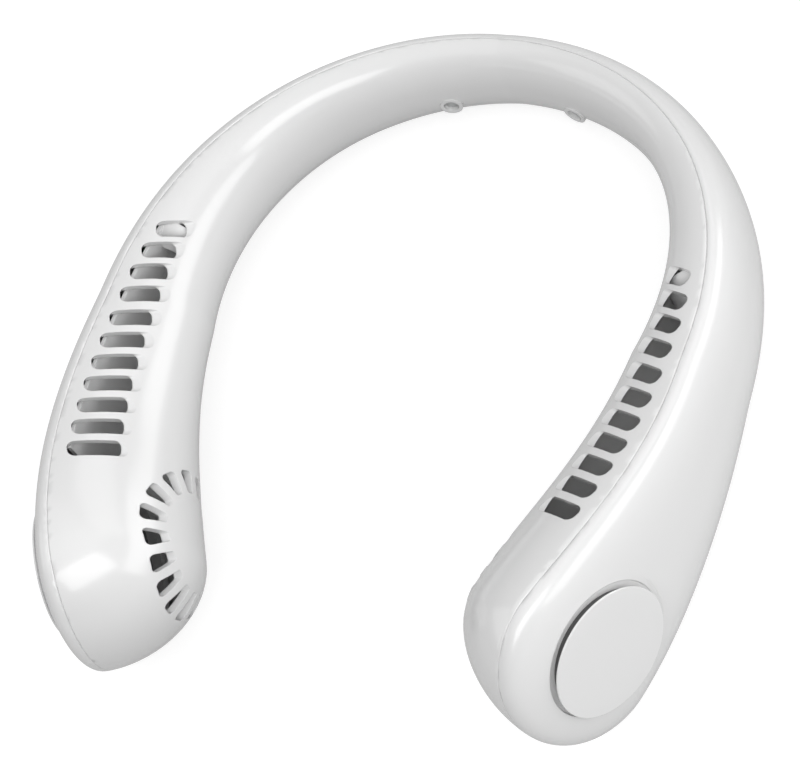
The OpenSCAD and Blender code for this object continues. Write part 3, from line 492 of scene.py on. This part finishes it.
def moulded_plastic(name, colour, roughness, tint=0.02, ripple=0.02, grain=0.0, edge=0.0, coat=0.0):
    """Injection-moulded plastic: faint colour drift, uneven polish, slow sink ripple and a fine grain"""
    material, nodes, links, shader = node_tree(name)
    place = object_place(nodes)
    dark = tuple(c * (1 - tint) for c in colour)
    drift = add_noise(nodes, links, place, DRIFT_NOISE)
    links.new(add_tint(nodes, links, drift, dark, colour), shader.inputs["Base Color"])
    polish = add_noise(nodes, links, place, POLISH_NOISE)
    low, high = (roughness * share for share in POLISH_SHARES)
    links.new(add_range(nodes, links, polish, low, high), shader.inputs["Roughness"])
    set_inputs(shader, {"IOR": PLASTIC_IOR, "Coat Weight": coat, "Coat Roughness": COAT_ROUGHNESS})
    sink = add_bump(nodes, links, add_noise(nodes, links, place, SINK_NOISE), ripple, SINK_DEPTH)
    last = sink
    if grain:
        last = add_bump(nodes, links, add_noise(nodes, links, place, PORE_NOISE), grain, PORE_DEPTH)
        links.new(sink.outputs["Normal"], last.inputs["Normal"])
    if edge:
        rounded = nodes.new("ShaderNodeBevel")
        rounded.samples = BEVEL_SAMPLES
        rounded.inputs["Radius"].default_value = edge
        links.new(rounded.outputs["Normal"], sink.inputs["Normal"])
    links.new(last.outputs["Normal"], shader.inputs["Normal"])
    return material


def metal(name, colour, roughness, brushed, stretch=(1, 1, 1)):
    """Bare metal with a drawn or turned grain and slight tarnish"""
    material, nodes, links, shader = node_tree(name)
    place = object_place(nodes)
    mapping = nodes.new("ShaderNodeMapping")
    mapping.inputs["Scale"].default_value = stretch
    links.new(place, mapping.inputs["Vector"])
    dark = tuple(c * TARNISH_SHARE for c in colour)
    tarnish = add_noise(nodes, links, place, TARNISH_NOISE)
    links.new(add_tint(nodes, links, tarnish, dark, colour), shader.inputs["Base Color"])
    lines = add_noise(nodes, links, mapping.outputs["Vector"], GRIND_NOISE)
    low, high = (roughness * share for share in GRIND_SHARES)
    links.new(add_range(nodes, links, lines, low, high), shader.inputs["Roughness"])
    shader.inputs["Metallic"].default_value = 1.0
    bump = add_bump(nodes, links, lines, brushed, GRIND_DEPTH)
    links.new(bump.outputs["Normal"], shader.inputs["Normal"])
    return material


def patterned(name, texture, values, height, strength, distance):
    """A material whose bump follows one texture, and that texture"""
    material, nodes, links, shader = node_tree(name)
    pattern = nodes.new(texture)
    set_inputs(pattern, values)
    links.new(object_place(nodes), pattern.inputs["Vector"])
    bump = add_bump(nodes, links, pattern.outputs[height], strength, distance)
    links.new(bump.outputs["Normal"], shader.inputs["Normal"])
    return material, nodes, links, shader, pattern


def wound_copper():
    """Enamelled wire, laid turn by turn round each tooth"""
    material, nodes, links, shader, turns = patterned(
        "wound_copper", "ShaderNodeTexWave", {"Scale": 900, "Distortion": 1.5}, "Fac", 0.6, 0.0001)
    tint = add_tint(nodes, links, turns.outputs["Fac"], (0.36, 0.12, 0.04), (0.74, 0.33, 0.15))
    links.new(tint, shader.inputs["Base Color"])
    set_inputs(shader, {"Metallic": 0.8, "Roughness": 0.32})
    return material


def open_foam():
    """Soft foam with small open pores"""
    material, nodes, links, shader, pores = patterned(
        "open_foam", "ShaderNodeTexVoronoi", {"Scale": 1500}, "Distance", 0.7, 0.0002)
    tint = add_tint(nodes, links, pores.outputs["Distance"], (0.02, 0.02, 0.022), (0.09, 0.09, 0.095))
    links.new(tint, shader.inputs["Base Color"])
    shader.inputs["Roughness"].default_value = 0.95
    return material


def circuit_board():
    """Green solder mask over copper tracks, with paler mask where there is no track"""
    material, nodes, links, shader, tracks = patterned(
        "circuit_board", "ShaderNodeTexBrick",
        {"Scale": 160, "Mortar Size": 0.03, "Mortar": (0.04, 0.26, 0.12, 1),
         "Color1": (0.012, 0.12, 0.05, 1), "Color2": (0.016, 0.15, 0.065, 1)}, "Fac", 0.3, 0.00005)
    links.new(tracks.outputs["Color"], shader.inputs["Base Color"])
    shader.inputs["Roughness"].default_value = 0.35
    return material


def clear_plastic():
    """Clear moulded plastic with faint flow lines"""
    material, nodes, links, shader = node_tree("clear_plastic")
    flow = add_noise(nodes, links, object_place(nodes), FLOW_NOISE)
    links.new(add_range(nodes, links, flow, 0.12, 0.22), shader.inputs["Roughness"])
    set_inputs(shader, {"Base Color": (0.93, 0.95, 0.97, 1), "Transmission Weight": 0.75, "IOR": CLEAR_IOR})
    return material


gloss_white = moulded_plastic("gloss_white_shell", PLAIN_WHITE, 0.24, tint=0.015, ripple=0.05, grain=0.02,
                              edge=0.0004, coat=1.0)
cap_white = moulded_plastic("gloss_white_cap", PLAIN_WHITE, 0.22, tint=0.012, ripple=0.04, grain=0.02,
                            coat=1.0)
# Near-black paint for the cap's neck: painted shade for the gap under the cap's lip, not the plastic's own
# colour
gap_shade_paint = moulded_plastic("painted_gap_shade", (0.1, 0.1, 0.1), 0.5)
button_grey = moulded_plastic("satin_grey_button", (0.50, 0.51, 0.52), 0.34, tint=0.04, ripple=0.05,
                              grain=0.12)
fan_grey = moulded_plastic("grey_fan_plastic", (0.34, 0.34, 0.345), 0.42, tint=0.06, ripple=0.08, grain=0.15)
duct_grey = moulded_plastic("grey_duct_plastic", (0.44, 0.44, 0.44), 0.45, tint=0.1, ripple=0.08, grain=0.2)
duct_white = moulded_plastic("satin_white_duct", PLAIN_WHITE, 0.38, tint=0.03, ripple=0.06, grain=0.06)
inner_white = moulded_plastic("white_plunger_plastic", (0.72, 0.72, 0.71), 0.4, tint=0.03, ripple=0.05,
                              grain=0.1)
steel_drawn = metal("drawn_steel", (0.62, 0.63, 0.65), 0.3, 0.3, (1, 1, 12))
steel_ground = metal("ground_bearing_steel", (0.74, 0.75, 0.76), 0.16, 0.15)
screw_steel = metal("zinc_plated_screw", (0.55, 0.56, 0.56), 0.36, 0.3)
magnet_dark = metal("sintered_magnet", (0.10, 0.10, 0.11), 0.55, 0.6)
copper = wound_copper()
foam = open_foam()
board_green = circuit_board()
lens_clear = clear_plastic()
cell_film = moulded_plastic("blue_cell_film", (0.05, 0.16, 0.36), 0.3, tint=0.12, ripple=0.4, grain=0.05,
                            coat=0.2)
lamp_white = moulded_plastic("lamp_body", (0.85, 0.84, 0.62), 0.25, tint=0.03)
lead_red = moulded_plastic("red_lead_jacket", (0.42, 0.02, 0.015), 0.45, tint=0.08, ripple=0.1, grain=0.2)
lead_black = moulded_plastic("black_lead_jacket", (0.02, 0.02, 0.022), 0.45, tint=0.08, ripple=0.1,
                             grain=0.2)
switch_black = moulded_plastic("black_switch_body", (0.025, 0.025, 0.028), 0.4, tint=0.08, ripple=0.05,
                               grain=0.2)

FINISHES = {
    "impeller": fan_grey, "rotor_cup": steel_drawn, "magnet_ring": magnet_dark, "fan_shaft": steel_ground,
    "bearings": steel_ground, "stator_core": magnet_dark, "stator_coils": copper, "motor_mount": steel_drawn,
    "motor_screws": screw_steel, "scroll": duct_grey, "inlet_ring": duct_grey, "rear_cell": cell_film,
    "front_cell": cell_film, "cell_foam": foam, "control_board": board_green, "board_screws": screw_steel,
    "usb_c_port": steel_ground, "tact_switch": switch_black, "switch_plunger": inner_white,
    "power_button": button_grey, "indicator_leds": lamp_white, "light_pipe": lens_clear,
    "shell_screws": screw_steel, "motor_lead": lead_red, "battery_lead": lead_black,
    "inner_shell": gloss_white, "outer_shell": gloss_white, "cap": cap_white, "duct_wall": duct_white,
}
for node_name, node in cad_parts.items():
    plain = node_name.removesuffix("_right").removesuffix("_left")
    node.data.materials.clear()
    node.data.materials.append(FINISHES[plain])


# The two shells. Each is one grid, bent round its C-shaped section and along the whole band
def skin_share(t, row, rows, side):
    """Share of the half height and depth of the groove, from row 0 at the top seam to the bottom one"""
    groove = len(SEAM_GROOVE)
    from_top = row < rows / 2
    near = row if from_top else rows - row
    sign = 1 if from_top else -1
    if near < groove:
        n, sunk = SEAM_GROOVE[near]
        q = near_seam_share(t, n, side) if n else 1.0
        return sign * q, sunk
    span = rows - 2 * (groove - 1)
    return math.sin(math.radians(90 * (1 - 2 * (row - groove + 1) / span))), 0.0


def shell_grid(side):
    rows = SKIN_ROWS + CAVITY_ROWS + 2
    bm = bmesh.new()
    bmesh.ops.create_grid(bm, x_segments=ALONG_STEPS, y_segments=rows, size=1.0)
    for vert in bm.verts:
        t = round((vert.co.x + 1) / 2 * ALONG_STEPS) / ALONG_STEPS * 2 - 1
        row = round((vert.co.y + 1) / 2 * rows) % rows
        if row <= SKIN_ROWS:
            q, sunk = skin_share(t, row, SKIN_ROWS, side)
            vert.co = band_point(t, q, side, sunk)
        else:
            row = SKIN_ROWS + CAVITY_ROWS + 1 - row
            q = math.sin(math.radians(90 * (1 - 2 * row / CAVITY_ROWS)))
            vert.co = band_point(t, q, side, WALL)
    bmesh.ops.remove_doubles(bm, verts=bm.verts, dist=WELD)
    bmesh.ops.recalc_face_normals(bm, faces=bm.faces)
    return bm


def raise_flat(bm, height):
    """Draws the flat faces of a mesh up to a height, as a solid"""
    top = bmesh.ops.extrude_face_region(bm, geom=bm.faces[:])
    lifted = [part for part in top["geom"] if isinstance(part, bmesh.types.BMVert)]
    bmesh.ops.translate(bm, vec=(0, 0, height * MM), verts=lifted)
    bmesh.ops.recalc_face_normals(bm, faces=bm.faces)


def rounded_bar(length, width, corner, height):
    """Upright bar with rounded corners, from 0 up to its height"""
    bm = bmesh.new()
    bmesh.ops.create_grid(bm, x_segments=1, y_segments=1, size=0.5 * MM)
    bmesh.ops.scale(bm, vec=(length, width, 1), verts=bm.verts)
    bmesh.ops.bevel(bm, geom=bm.verts, offset=corner * MM, offset_type="OFFSET", affect="VERTICES",
                    segments=CORNER_STEPS, profile=0.5, material=-1)
    raise_flat(bm, height)
    return bm


def drum(radius, low, high, steps):
    bm = bmesh.new()
    bmesh.ops.create_cone(bm, cap_ends=True, segments=steps, radius1=radius * MM, radius2=radius * MM,
                          depth=(high - low) * MM)
    bmesh.ops.translate(bm, vec=(0, 0, (high + low) / 2 * MM), verts=bm.verts)
    return bm


def wedge(low, high):
    """Grille slot: wide at its outer end, narrow at its inner end, with rounded corners"""
    bm = bmesh.new()
    corners = ((GRILLE_IN_R + GRILLE_IN_CORNER, GRILLE_IN_W / 2 - GRILLE_IN_CORNER, GRILLE_IN_CORNER),
               (GRILLE_OUT_R - GRILLE_OUT_CORNER, GRILLE_OUT_W / 2 - GRILLE_OUT_CORNER, GRILLE_OUT_CORNER))
    for centre, side, radius in corners:
        for sign in (-1, 1):
            bmesh.ops.create_circle(bm, cap_ends=False, segments=WEDGE_STEPS, radius=radius * MM,
                                    matrix=moved(centre, sign * side, low))
    flat = bmesh.ops.convex_hull(bm, input=bm.verts)
    inside = [part for part in flat["geom_interior"] if isinstance(part, bmesh.types.BMVert)]
    bmesh.ops.delete(bm, geom=inside, context="VERTS")
    bmesh.ops.dissolve_limit(bm, angle_limit=FLAT_ANGLE, verts=bm.verts, edges=bm.edges)
    raise_flat(bm, high - low)
    return bm


def gather(parts):
    """One mesh of many, each moved by its own matrix"""
    whole = bmesh.new()
    for part, matrix in parts:
        put(part, matrix)
        spare = bpy.data.meshes.new("spare")
        part.to_mesh(spare)
        part.free()
        whole.from_mesh(spare)
        bpy.data.meshes.remove(spare)
    return whole


def both_sides(make, matrix):
    return [(make(), matrix), (make(), LEFT @ matrix)]


def slot_frame(i):
    """The cutter's frame: it leans towards the neck, and turns from straight across the arm"""
    u = blend(SLOT_SHARES[0], SLOT_SHARES[1], i / (SLOT_COUNT - 1))
    power = blend(INNER_POWERS[0], INNER_POWERS[1], u)
    q = math.cos(math.radians(SLOT_ANGLE)) ** (2 / power)
    mouth = band_point(u * LINE_PART, q, -1, 0.0)
    return Matrix.Translation(mouth) @ turned(180 - SLOT_TURN, "Z") @ turned(SLOT_LEAN, "Y")


def slot_cutter(far, hole, rim, rim_height):
    """A hole with a shallow scoop at its near end, which meets an undercut in a thin edge"""
    bend = rim_height - (rim - hole) / SCOOP_FLARE
    top = rim_height + SCOOP_OVER
    bm = rounded_bar(hole - far, SLOT_W, SLOT_CORNER, SLOT_INSIDE + top)
    bmesh.ops.translate(bm, vec=(0, 0, -SLOT_INSIDE * MM), verts=bm.verts)
    for height in (bend, bend - HOLE_EDGE_DROP):
        bmesh.ops.bisect_plane(bm, geom=bm.verts[:] + bm.edges[:] + bm.faces[:],
                               plane_co=(0, 0, height * MM), plane_no=(0, 0, 1))
    for vert in bm.verts:
        if vert.co.x > 0:
            above = vert.co.z / MM - bend
            below = min(max(0, -above), HOLE_EDGE_DROP)
            vert.co.x += (SCOOP_FLARE * max(0, above) + HOLE_UNDERCUT * below) * MM
    bmesh.ops.translate(bm, vec=((hole + far) / 2 * MM, 0, 0), verts=bm.verts)
    return bm


def slot_cutters():
    parts = []
    for i in range(SLOT_COUNT):
        t = i / (SLOT_COUNT - 1)
        long = blend(SLOT_LENS[0], SLOT_LENS[1], t ** SLOT_GROWTH)
        reach = blend(SLOT_REACHES[0], SLOT_REACHES[1], t)
        far = reach - long * math.cos(math.radians(SLOT_LEAN - SLOT_FALL))
        hole = blend(HOLE_REACHES[0], HOLE_REACHES[1], t)
        rim = blend(SCOOP_REACHES[0], SCOOP_REACHES[1], t)
        rim_height = blend(SCOOP_HEIGHTS[0], SCOOP_HEIGHTS[1], t)
        parts += both_sides(lambda: slot_cutter(far, hole, rim, rim_height), slot_frame(i))
    return parts


def grille_cutters():
    parts = []
    for i in range(GRILLE_COUNT):
        spin = turned(90 + GRILLE_TURN + i * 360 / GRILLE_COUNT, "Z")
        middle = HEAD @ moved(-GRILLE_RISE, -GRILLE_FORE, 0)
        parts += both_sides(lambda: wedge(-INNER_DEPTHS[2] - GRILLE_OVER, -GRILLE_TOP), middle @ spin)
    return parts


def usb_cutter():
    height = USB_T + USB_GAP
    slot = rounded_bar(height, USB_W + USB_GAP, height / 2 - USB_FLAT, USB_LEN + USB_OVER)
    power = blend(OUTER_POWERS[0], OUTER_POWERS[1], BOARD_SHARE)
    depth = USB_T / 4 / depth_at(OUTER_DEPTHS, BOARD_SHARE)
    low = -half_h(BOARD_SHARE) * (1 - depth ** power) ** (1 / power) - WALL
    return [(slot, LEFT @ BOARD @ moved(0, USB_Y, low))]


def screw_frame():
    return share_frame(SCREW_SHARE) @ moved(0, 0, -SCREW_DROP * half_h(SCREW_SHARE)) @ OUT


def screw_pockets():
    power = blend(INNER_POWERS[0], INNER_POWERS[1], SCREW_SHARE)
    face = -side_depth(depth_at(INNER_DEPTHS, SCREW_SHARE), power, 1, SCREW_DROP)
    low, high = face - SCREW_POCKET_OVER, face + SCREW_POCKET_DEPTH
    return both_sides(lambda: drum(SCREW_POCKET_R, low, high, SCREW_STEPS), screw_frame())


def screw_bosses(span):
    return both_sides(lambda: drum(BOSS_R, *span, SCREW_STEPS), screw_frame())


def cut(piece, parts, operation="DIFFERENCE"):
    """Applies a boolean with the gathered parts, whose faces keep the cutter's own material slot"""
    tool = as_object("cutter", gather(parts), None)
    tool.data.materials.append(piece.data.materials[0])
    tool.data.materials.append(piece.data.materials[1])
    for face in tool.data.polygons:
        face.material_index = 1
    modifier = piece.modifiers.new("cut", "BOOLEAN")
    modifier.operation = operation
    modifier.solver = "EXACT"
    modifier.object = tool
    seen = piece.evaluated_get(bpy.context.evaluated_depsgraph_get())
    result = bpy.data.meshes.new_from_object(seen)
    piece.modifiers.clear()
    old = piece.data
    piece.data = result
    bpy.data.meshes.remove(old)
    bpy.data.objects.remove(tool)


def shade_like(piece, source, angle):
    """Smooth shading: faces on the skin take the normals of the uncut skin, so that cuts leave no ripples"""
    tree = BVHTree.FromBMesh(source)
    source.faces.ensure_lookup_table()
    bm = bmesh.new()
    bm.from_mesh(piece.data)
    for face in bm.faces:
        face.smooth = True
    for edge in bm.edges:
        crease = not edge.is_manifold or edge.calc_face_angle(0.0) > math.radians(angle)
        border = edge.is_manifold and edge.link_faces[0].material_index != edge.link_faces[1].material_index
        edge.smooth = not (crease or border)
    bm.to_mesh(piece.data)
    bm.free()
    mesh = piece.data
    mesh.update()
    normals = []
    for face in mesh.polygons:
        for loop_index in face.loop_indices:
            vert = mesh.loops[loop_index].vertex_index
            normal = Vector((0, 0, 0))
            if face.material_index == 0:
                place, flat, index, gap = tree.find_nearest(mesh.vertices[vert].co)
                if gap is not None and gap < SKIN_REACH and flat.dot(face.normal) > SAME_FACING:
                    normal = smooth_normal(source.faces[index], place, face.normal)
            normals.append(normal)
    mesh.normals_split_custom_set(normals)


def smooth_normal(face, place, facing):
    """Normal at a place on a face, from its corners by distance"""
    total = Vector((0, 0, 0))
    for vert in face.verts:
        weight = 1 / ((vert.co - place).length + WELD) ** 2
        total += vert.normal * weight
    total.normalize()
    return total if total.dot(facing) > SAME_NORMAL else Vector((0, 0, 0))


def make_shell(name, side, unions, cuts):
    grid = shell_grid(side)
    kept = grid.copy()
    piece = as_object(name, grid, gloss_white)
    piece.data.materials.append(gloss_white)
    cut(piece, unions, "UNION")
    cut(piece, cuts)
    shade_like(piece, kept, SHELL_CREASE_ANGLE)
    kept.free()
    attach(piece, "root")
    return piece


inner_piece = make_shell("inner_shell_gloss", -1, screw_bosses(INNER_BOSS_SPAN),
                         slot_cutters() + grille_cutters() + usb_cutter() + screw_pockets())
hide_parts("inner_shell")


def outer_cutters():
    """Cap recesses, button hole, lamp holes and charging port"""
    parts = both_sides(lambda: drum(CAP_R + CAP_GAP, CAP_SEAT, CAP_TOP + OUTER_OVER, RECESS_STEPS), HEAD)
    parts.append((drum(BUTTON_R + BUTTON_GAP, *BUTTON_HOLE_SPAN, BUTTON_STEPS),
                  LEFT @ BOARD @ moved(0, BUTTON_Y, 0) @ OUT))
    for i in range(LED_COUNT):
        parts.append((drum(LED_PIN_R + LED_GAP, *LED_HOLE_SPAN, LED_STEPS),
                      LEFT @ BOARD @ moved(0, LED_Y - i * LED_PITCH, LED_Z) @ OUT))
    return parts + usb_cutter()


def cap_seats():
    return both_sides(lambda: drum(CAP_R + CAP_GAP + SEAT_MARGIN, CAP_SEAT - SEAT_T, CAP_SEAT + SEAT_BITE,
                                   RECESS_STEPS), HEAD)


outer_piece = make_shell("outer_shell_gloss", 1, cap_seats() + screw_bosses(OUTER_BOSS_SPAN), outer_cutters())
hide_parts("outer_shell")


# The walls and the closed ends of the air ducts, which show through the slots
def duct_point(u, corner):
    """Corner 0 to 3 of the duct wall's section: far top, near top, near bottom and far bottom"""
    place, turn = line_at(u)
    power = blend(INNER_POWERS[0], INNER_POWERS[1], u)
    room = depth_at(INNER_DEPTHS, u) - WALL
    bend = ease((u - DUCT_SHARES[0]) / (DUCT_SHARES[1] - DUCT_SHARES[0]))
    n = blend(room - DUCT_GAP - DUCT_T, DUCT_DEPTH, bend) + (DUCT_T if corner in (0, 3) else 0)
    z = (half_h(u) - WALL) * (1 - (n / room) ** power) ** (1 / power) - DUCT_GAP
    if corner > 1:
        z = -z
    lean = lean_at(u)
    out = -n * math.cos(lean) - z * math.sin(lean)
    return datum_to_frame(place[0] + out * math.cos(turn), place[1] + out * math.sin(turn),
                          centre_z(u) - n * math.sin(lean) + z * math.cos(lean))


def make_duct_wall(side):
    bm = bmesh.new()
    bmesh.ops.create_grid(bm, x_segments=DUCT_STEPS, y_segments=DUCT_CORNERS, size=1.0)
    for vert in bm.verts:
        along = round((vert.co.x + 1) / 2 * DUCT_STEPS) / DUCT_STEPS
        corner = round((vert.co.y + 1) / 2 * DUCT_CORNERS) % DUCT_CORNERS
        vert.co = duct_point(blend(DUCT_SHARES[0], DUCT_SHARES[2], along), corner)
    bmesh.ops.remove_doubles(bm, verts=bm.verts, dist=WELD)
    bmesh.ops.holes_fill(bm, edges=bm.edges, sides=DUCT_CORNERS)
    bmesh.ops.recalc_face_normals(bm, faces=bm.faces)
    if side == "left":
        put(bm, LEFT)
    piece = as_object("duct_wall_smooth_" + side, bm, duct_white)
    smooth_by_angle(piece, CREASE_ANGLE)
    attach(piece, "root")
    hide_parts("duct_wall_" + side)


def make_duct_end(side):
    """Closed end of the duct, which slopes down from the first slot"""
    bm = bmesh.new()
    bmesh.ops.create_grid(bm, x_segments=DUCT_END_STEPS, y_segments=DUCT_END_ROWS, size=1.0)
    for vert in bm.verts:
        along = (vert.co.x + 1) / 2
        u = blend(DUCT_END_SHARES[0], DUCT_END_SHARES[1], along)
        shrink = WALL + DUCT_GAP + DUCT_END_DROP * along ** DUCT_END_CURVE
        power = blend(INNER_POWERS[0], INNER_POWERS[1], u)
        n = (DUCT_DEPTH + DUCT_T / 2) / (depth_at(INNER_DEPTHS, u) - shrink)
        q = (1 - n ** power) ** (1 / power) * math.cos(math.radians(90 * (vert.co.y + 1) / 2))
        vert.co = band_point(u * LINE_PART, q, -1, shrink)
    bmesh.ops.recalc_face_normals(bm, faces=bm.faces)
    bmesh.ops.solidify(bm, geom=bm.faces, thickness=DUCT_END_T * MM)
    bmesh.ops.recalc_face_normals(bm, faces=bm.faces)
    if side == "left":
        put(bm, LEFT)
    piece = as_object("duct_end_" + side, bm, duct_white)
    smooth_by_angle(piece, CREASE_ANGLE)
    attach(piece, "root")


make_duct_wall("right")
make_duct_wall("left")
make_duct_end("right")
make_duct_end("left")


# Round pieces, turned from their half section
def turned_piece(profile, steps, corner, corner_r):
    """Spins a half section, given as radius and height, round +Z, with one of its corners rounded"""
    bm = bmesh.new()
    verts = [bm.verts.new((r * MM, 0, z * MM)) for r, z in profile]
    for a, b in zip(verts, verts[1:]):
        bm.edges.new((a, b))
    bmesh.ops.bevel(bm, geom=[verts[corner]], offset=corner_r * MM, offset_type="OFFSET",
                    affect="VERTICES", segments=EDGE_STEPS, profile=0.5, material=-1)
    bmesh.ops.spin(bm, geom=bm.verts[:] + bm.edges[:], cent=(0, 0, 0), axis=(0, 0, 1), dvec=(0, 0, 0),
                   angle=math.radians(360), steps=steps, use_merge=True)
    bmesh.ops.remove_doubles(bm, verts=bm.verts, dist=WELD)
    bmesh.ops.recalc_face_normals(bm, faces=bm.faces)
    return bm


def make_cap(side):
    """Cap with a thin lip over a narrower neck, whose faces are painted near-black as the shade in the gap
    under the lip
    """
    edge_low = CAP_TOP - CAP_CROWN - CAP_EDGE_T
    neck_top = edge_low - CAP_NECK_DROP
    neck_r = CAP_R - CAP_LIP
    profile = [(r, CAP_TOP - CAP_CROWN * share) for r, share in CAP_CROWN_STEPS]
    profile += [(CAP_R, edge_low), (neck_r, neck_top), (neck_r, CAP_SEAT), (neck_r - CAP_RIM, CAP_SEAT),
                (neck_r - CAP_RIM, CAP_TOP - CAP_SKIN), (0, CAP_TOP - CAP_SKIN)]
    bm = turned_piece(profile, CAP_STEPS, len(CAP_CROWN_STEPS) - 1, CAP_EDGE_R)
    # The neck's faces below the lip take the painted shade of the gap
    for face in bm.faces:
        if face.calc_center_median().z < neck_top * MM:
            face.material_index = 1
    put(bm, HEAD if side == "right" else LEFT @ HEAD)
    piece = as_object("cap_gloss_" + side, bm, cap_white)
    # The second slot holds the painted shade of the gap under the lip
    piece.data.materials.append(gap_shade_paint)
    smooth_by_angle(piece, CREASE_ANGLE)
    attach(piece, "root")
    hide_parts("cap_" + side)


make_cap("right")
make_cap("left")


def make_button():
    """The button's own frame: its top stands a little proud of the arm's skin"""
    u = BOARD_SHARE - BUTTON_Y / LINE_LEN
    drop = line_at(u)[0] - line_at(BOARD_SHARE)[0]
    turn = line_at(BOARD_SHARE)[1]
    skin = (drop[0] * math.cos(turn) + drop[1] * math.sin(turn)
            + side_depth(depth_at(OUTER_DEPTHS, u), blend(OUTER_POWERS[0], OUTER_POWERS[1], u), 1, 0))
    top = skin + BUTTON_PROUD
    flat_r = BUTTON_R - BUTTON_FLAT_W
    profile = [(0, top - BUTTON_DISH), (BUTTON_DISH_R, top - BUTTON_DISH_DROP),
               (flat_r - BUTTON_FLAT_W, top - BUTTON_FLAT_DROP), (flat_r, top),
               (BUTTON_R, top), (BUTTON_R, BUTTON_LOW), (0, BUTTON_LOW)]
    bm = turned_piece(profile, BUTTON_STEPS, profile.index((BUTTON_R, top)), BUTTON_EDGE_R)
    put(bm, LEFT @ BOARD @ moved(0, BUTTON_Y, 0) @ OUT)
    piece = as_object("power_button_satin", bm, button_grey)
    smooth_by_angle(piece, BUTTON_CREASE_ANGLE)
    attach(piece, "button")
    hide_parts("power_button")


make_button()


# Camera
def make_camera():
    data = bpy.data.cameras.new("photo_camera")
    data.sensor_fit = "HORIZONTAL"
    data.sensor_width = CAMERA_SENSOR
    data.lens = CAMERA_LENS
    data.clip_start, data.clip_end = CAMERA_CLIP
    camera = bpy.data.objects.new("photo_camera", data)
    axes = Matrix((CAMERA_RIGHT, CAMERA_UP, CAMERA_BACK)).transposed().to_4x4()
    camera.matrix_world = Matrix.Translation(CAMERA_PLACE) @ axes
    bpy.context.scene.collection.objects.link(camera)
    bpy.context.scene.camera = camera


make_camera()


# Pale floor and studio light
def add_math(nodes, links, operation, first, second):
    node = nodes.new("ShaderNodeMath")
    node.operation = operation
    links.new(first, node.inputs[0])
    if isinstance(second, float):
        node.inputs[1].default_value = second
    else:
        links.new(second, node.inputs[1])
    return node.outputs[0]


def white_background_share(nodes, links):
    """1 where the camera sees a surface, and less where a reflection or clear plastic shows it"""
    path = nodes.new("ShaderNodeLightPath").outputs
    seen = add_math(nodes, links, "MAXIMUM", path["Is Glossy Ray"], path["Is Transmission Ray"])
    weak = add_math(nodes, links, "MULTIPLY", seen, REFLECTED_SHARE)
    return add_math(nodes, links, "MAXIMUM", path["Is Camera Ray"], weak)


def make_floor():
    bm = bmesh.new()
    bmesh.ops.create_grid(bm, x_segments=1, y_segments=1, size=FLOOR_SIZE)
    material, nodes, links, shader = node_tree("pale_floor")
    set_inputs(shader, {"Base Color": (FLOOR_BASE, FLOOR_BASE, FLOOR_BASE, 1), "Roughness": FLOOR_ROUGHNESS,
                        "Specular IOR Level": 0.0})
    glow = nodes.new("ShaderNodeEmission")
    strength = add_math(nodes, links, "MULTIPLY", white_background_share(nodes, links), FLOOR_GLOW)
    links.new(strength, glow.inputs["Strength"])
    both = nodes.new("ShaderNodeAddShader")
    links.new(shader.outputs[0], both.inputs[0])
    links.new(glow.outputs[0], both.inputs[1])
    links.new(both.outputs[0], nodes["Material Output"].inputs["Surface"])
    floor = as_object("floor", bm, material)


def area_light(name, place, size, power):
    data = bpy.data.lights.new(name, "AREA")
    data.shape = "RECTANGLE"
    data.size, data.size_y = size
    data.energy = power
    lamp = bpy.data.objects.new(name, data)
    lamp.location = place
    lamp.rotation_euler = (Vector(place) - Vector(AIM)).to_track_quat("Z", "Y").to_euler()
    bpy.context.scene.collection.objects.link(lamp)


def make_world():
    world = bpy.data.worlds.new("studio")
    bpy.context.scene.world = world
    world.use_nodes = True
    nodes, links = world.node_tree.nodes, world.node_tree.links
    back = nodes["Background"]
    back.inputs["Color"].default_value = (1, 1, 1, 1)
    strength = nodes.new("ShaderNodeMapRange")
    set_inputs(strength, {"To Min": WORLD_LIGHT, "To Max": 1.0})
    path = nodes.new("ShaderNodeLightPath")
    links.new(path.outputs["Is Camera Ray"], strength.inputs["Value"])
    links.new(strength.outputs["Result"], back.inputs["Strength"])


make_floor()
make_world()
for softbox in SOFTBOXES:
    area_light(*softbox)
bpy.context.scene.view_settings.view_transform = "Standard"
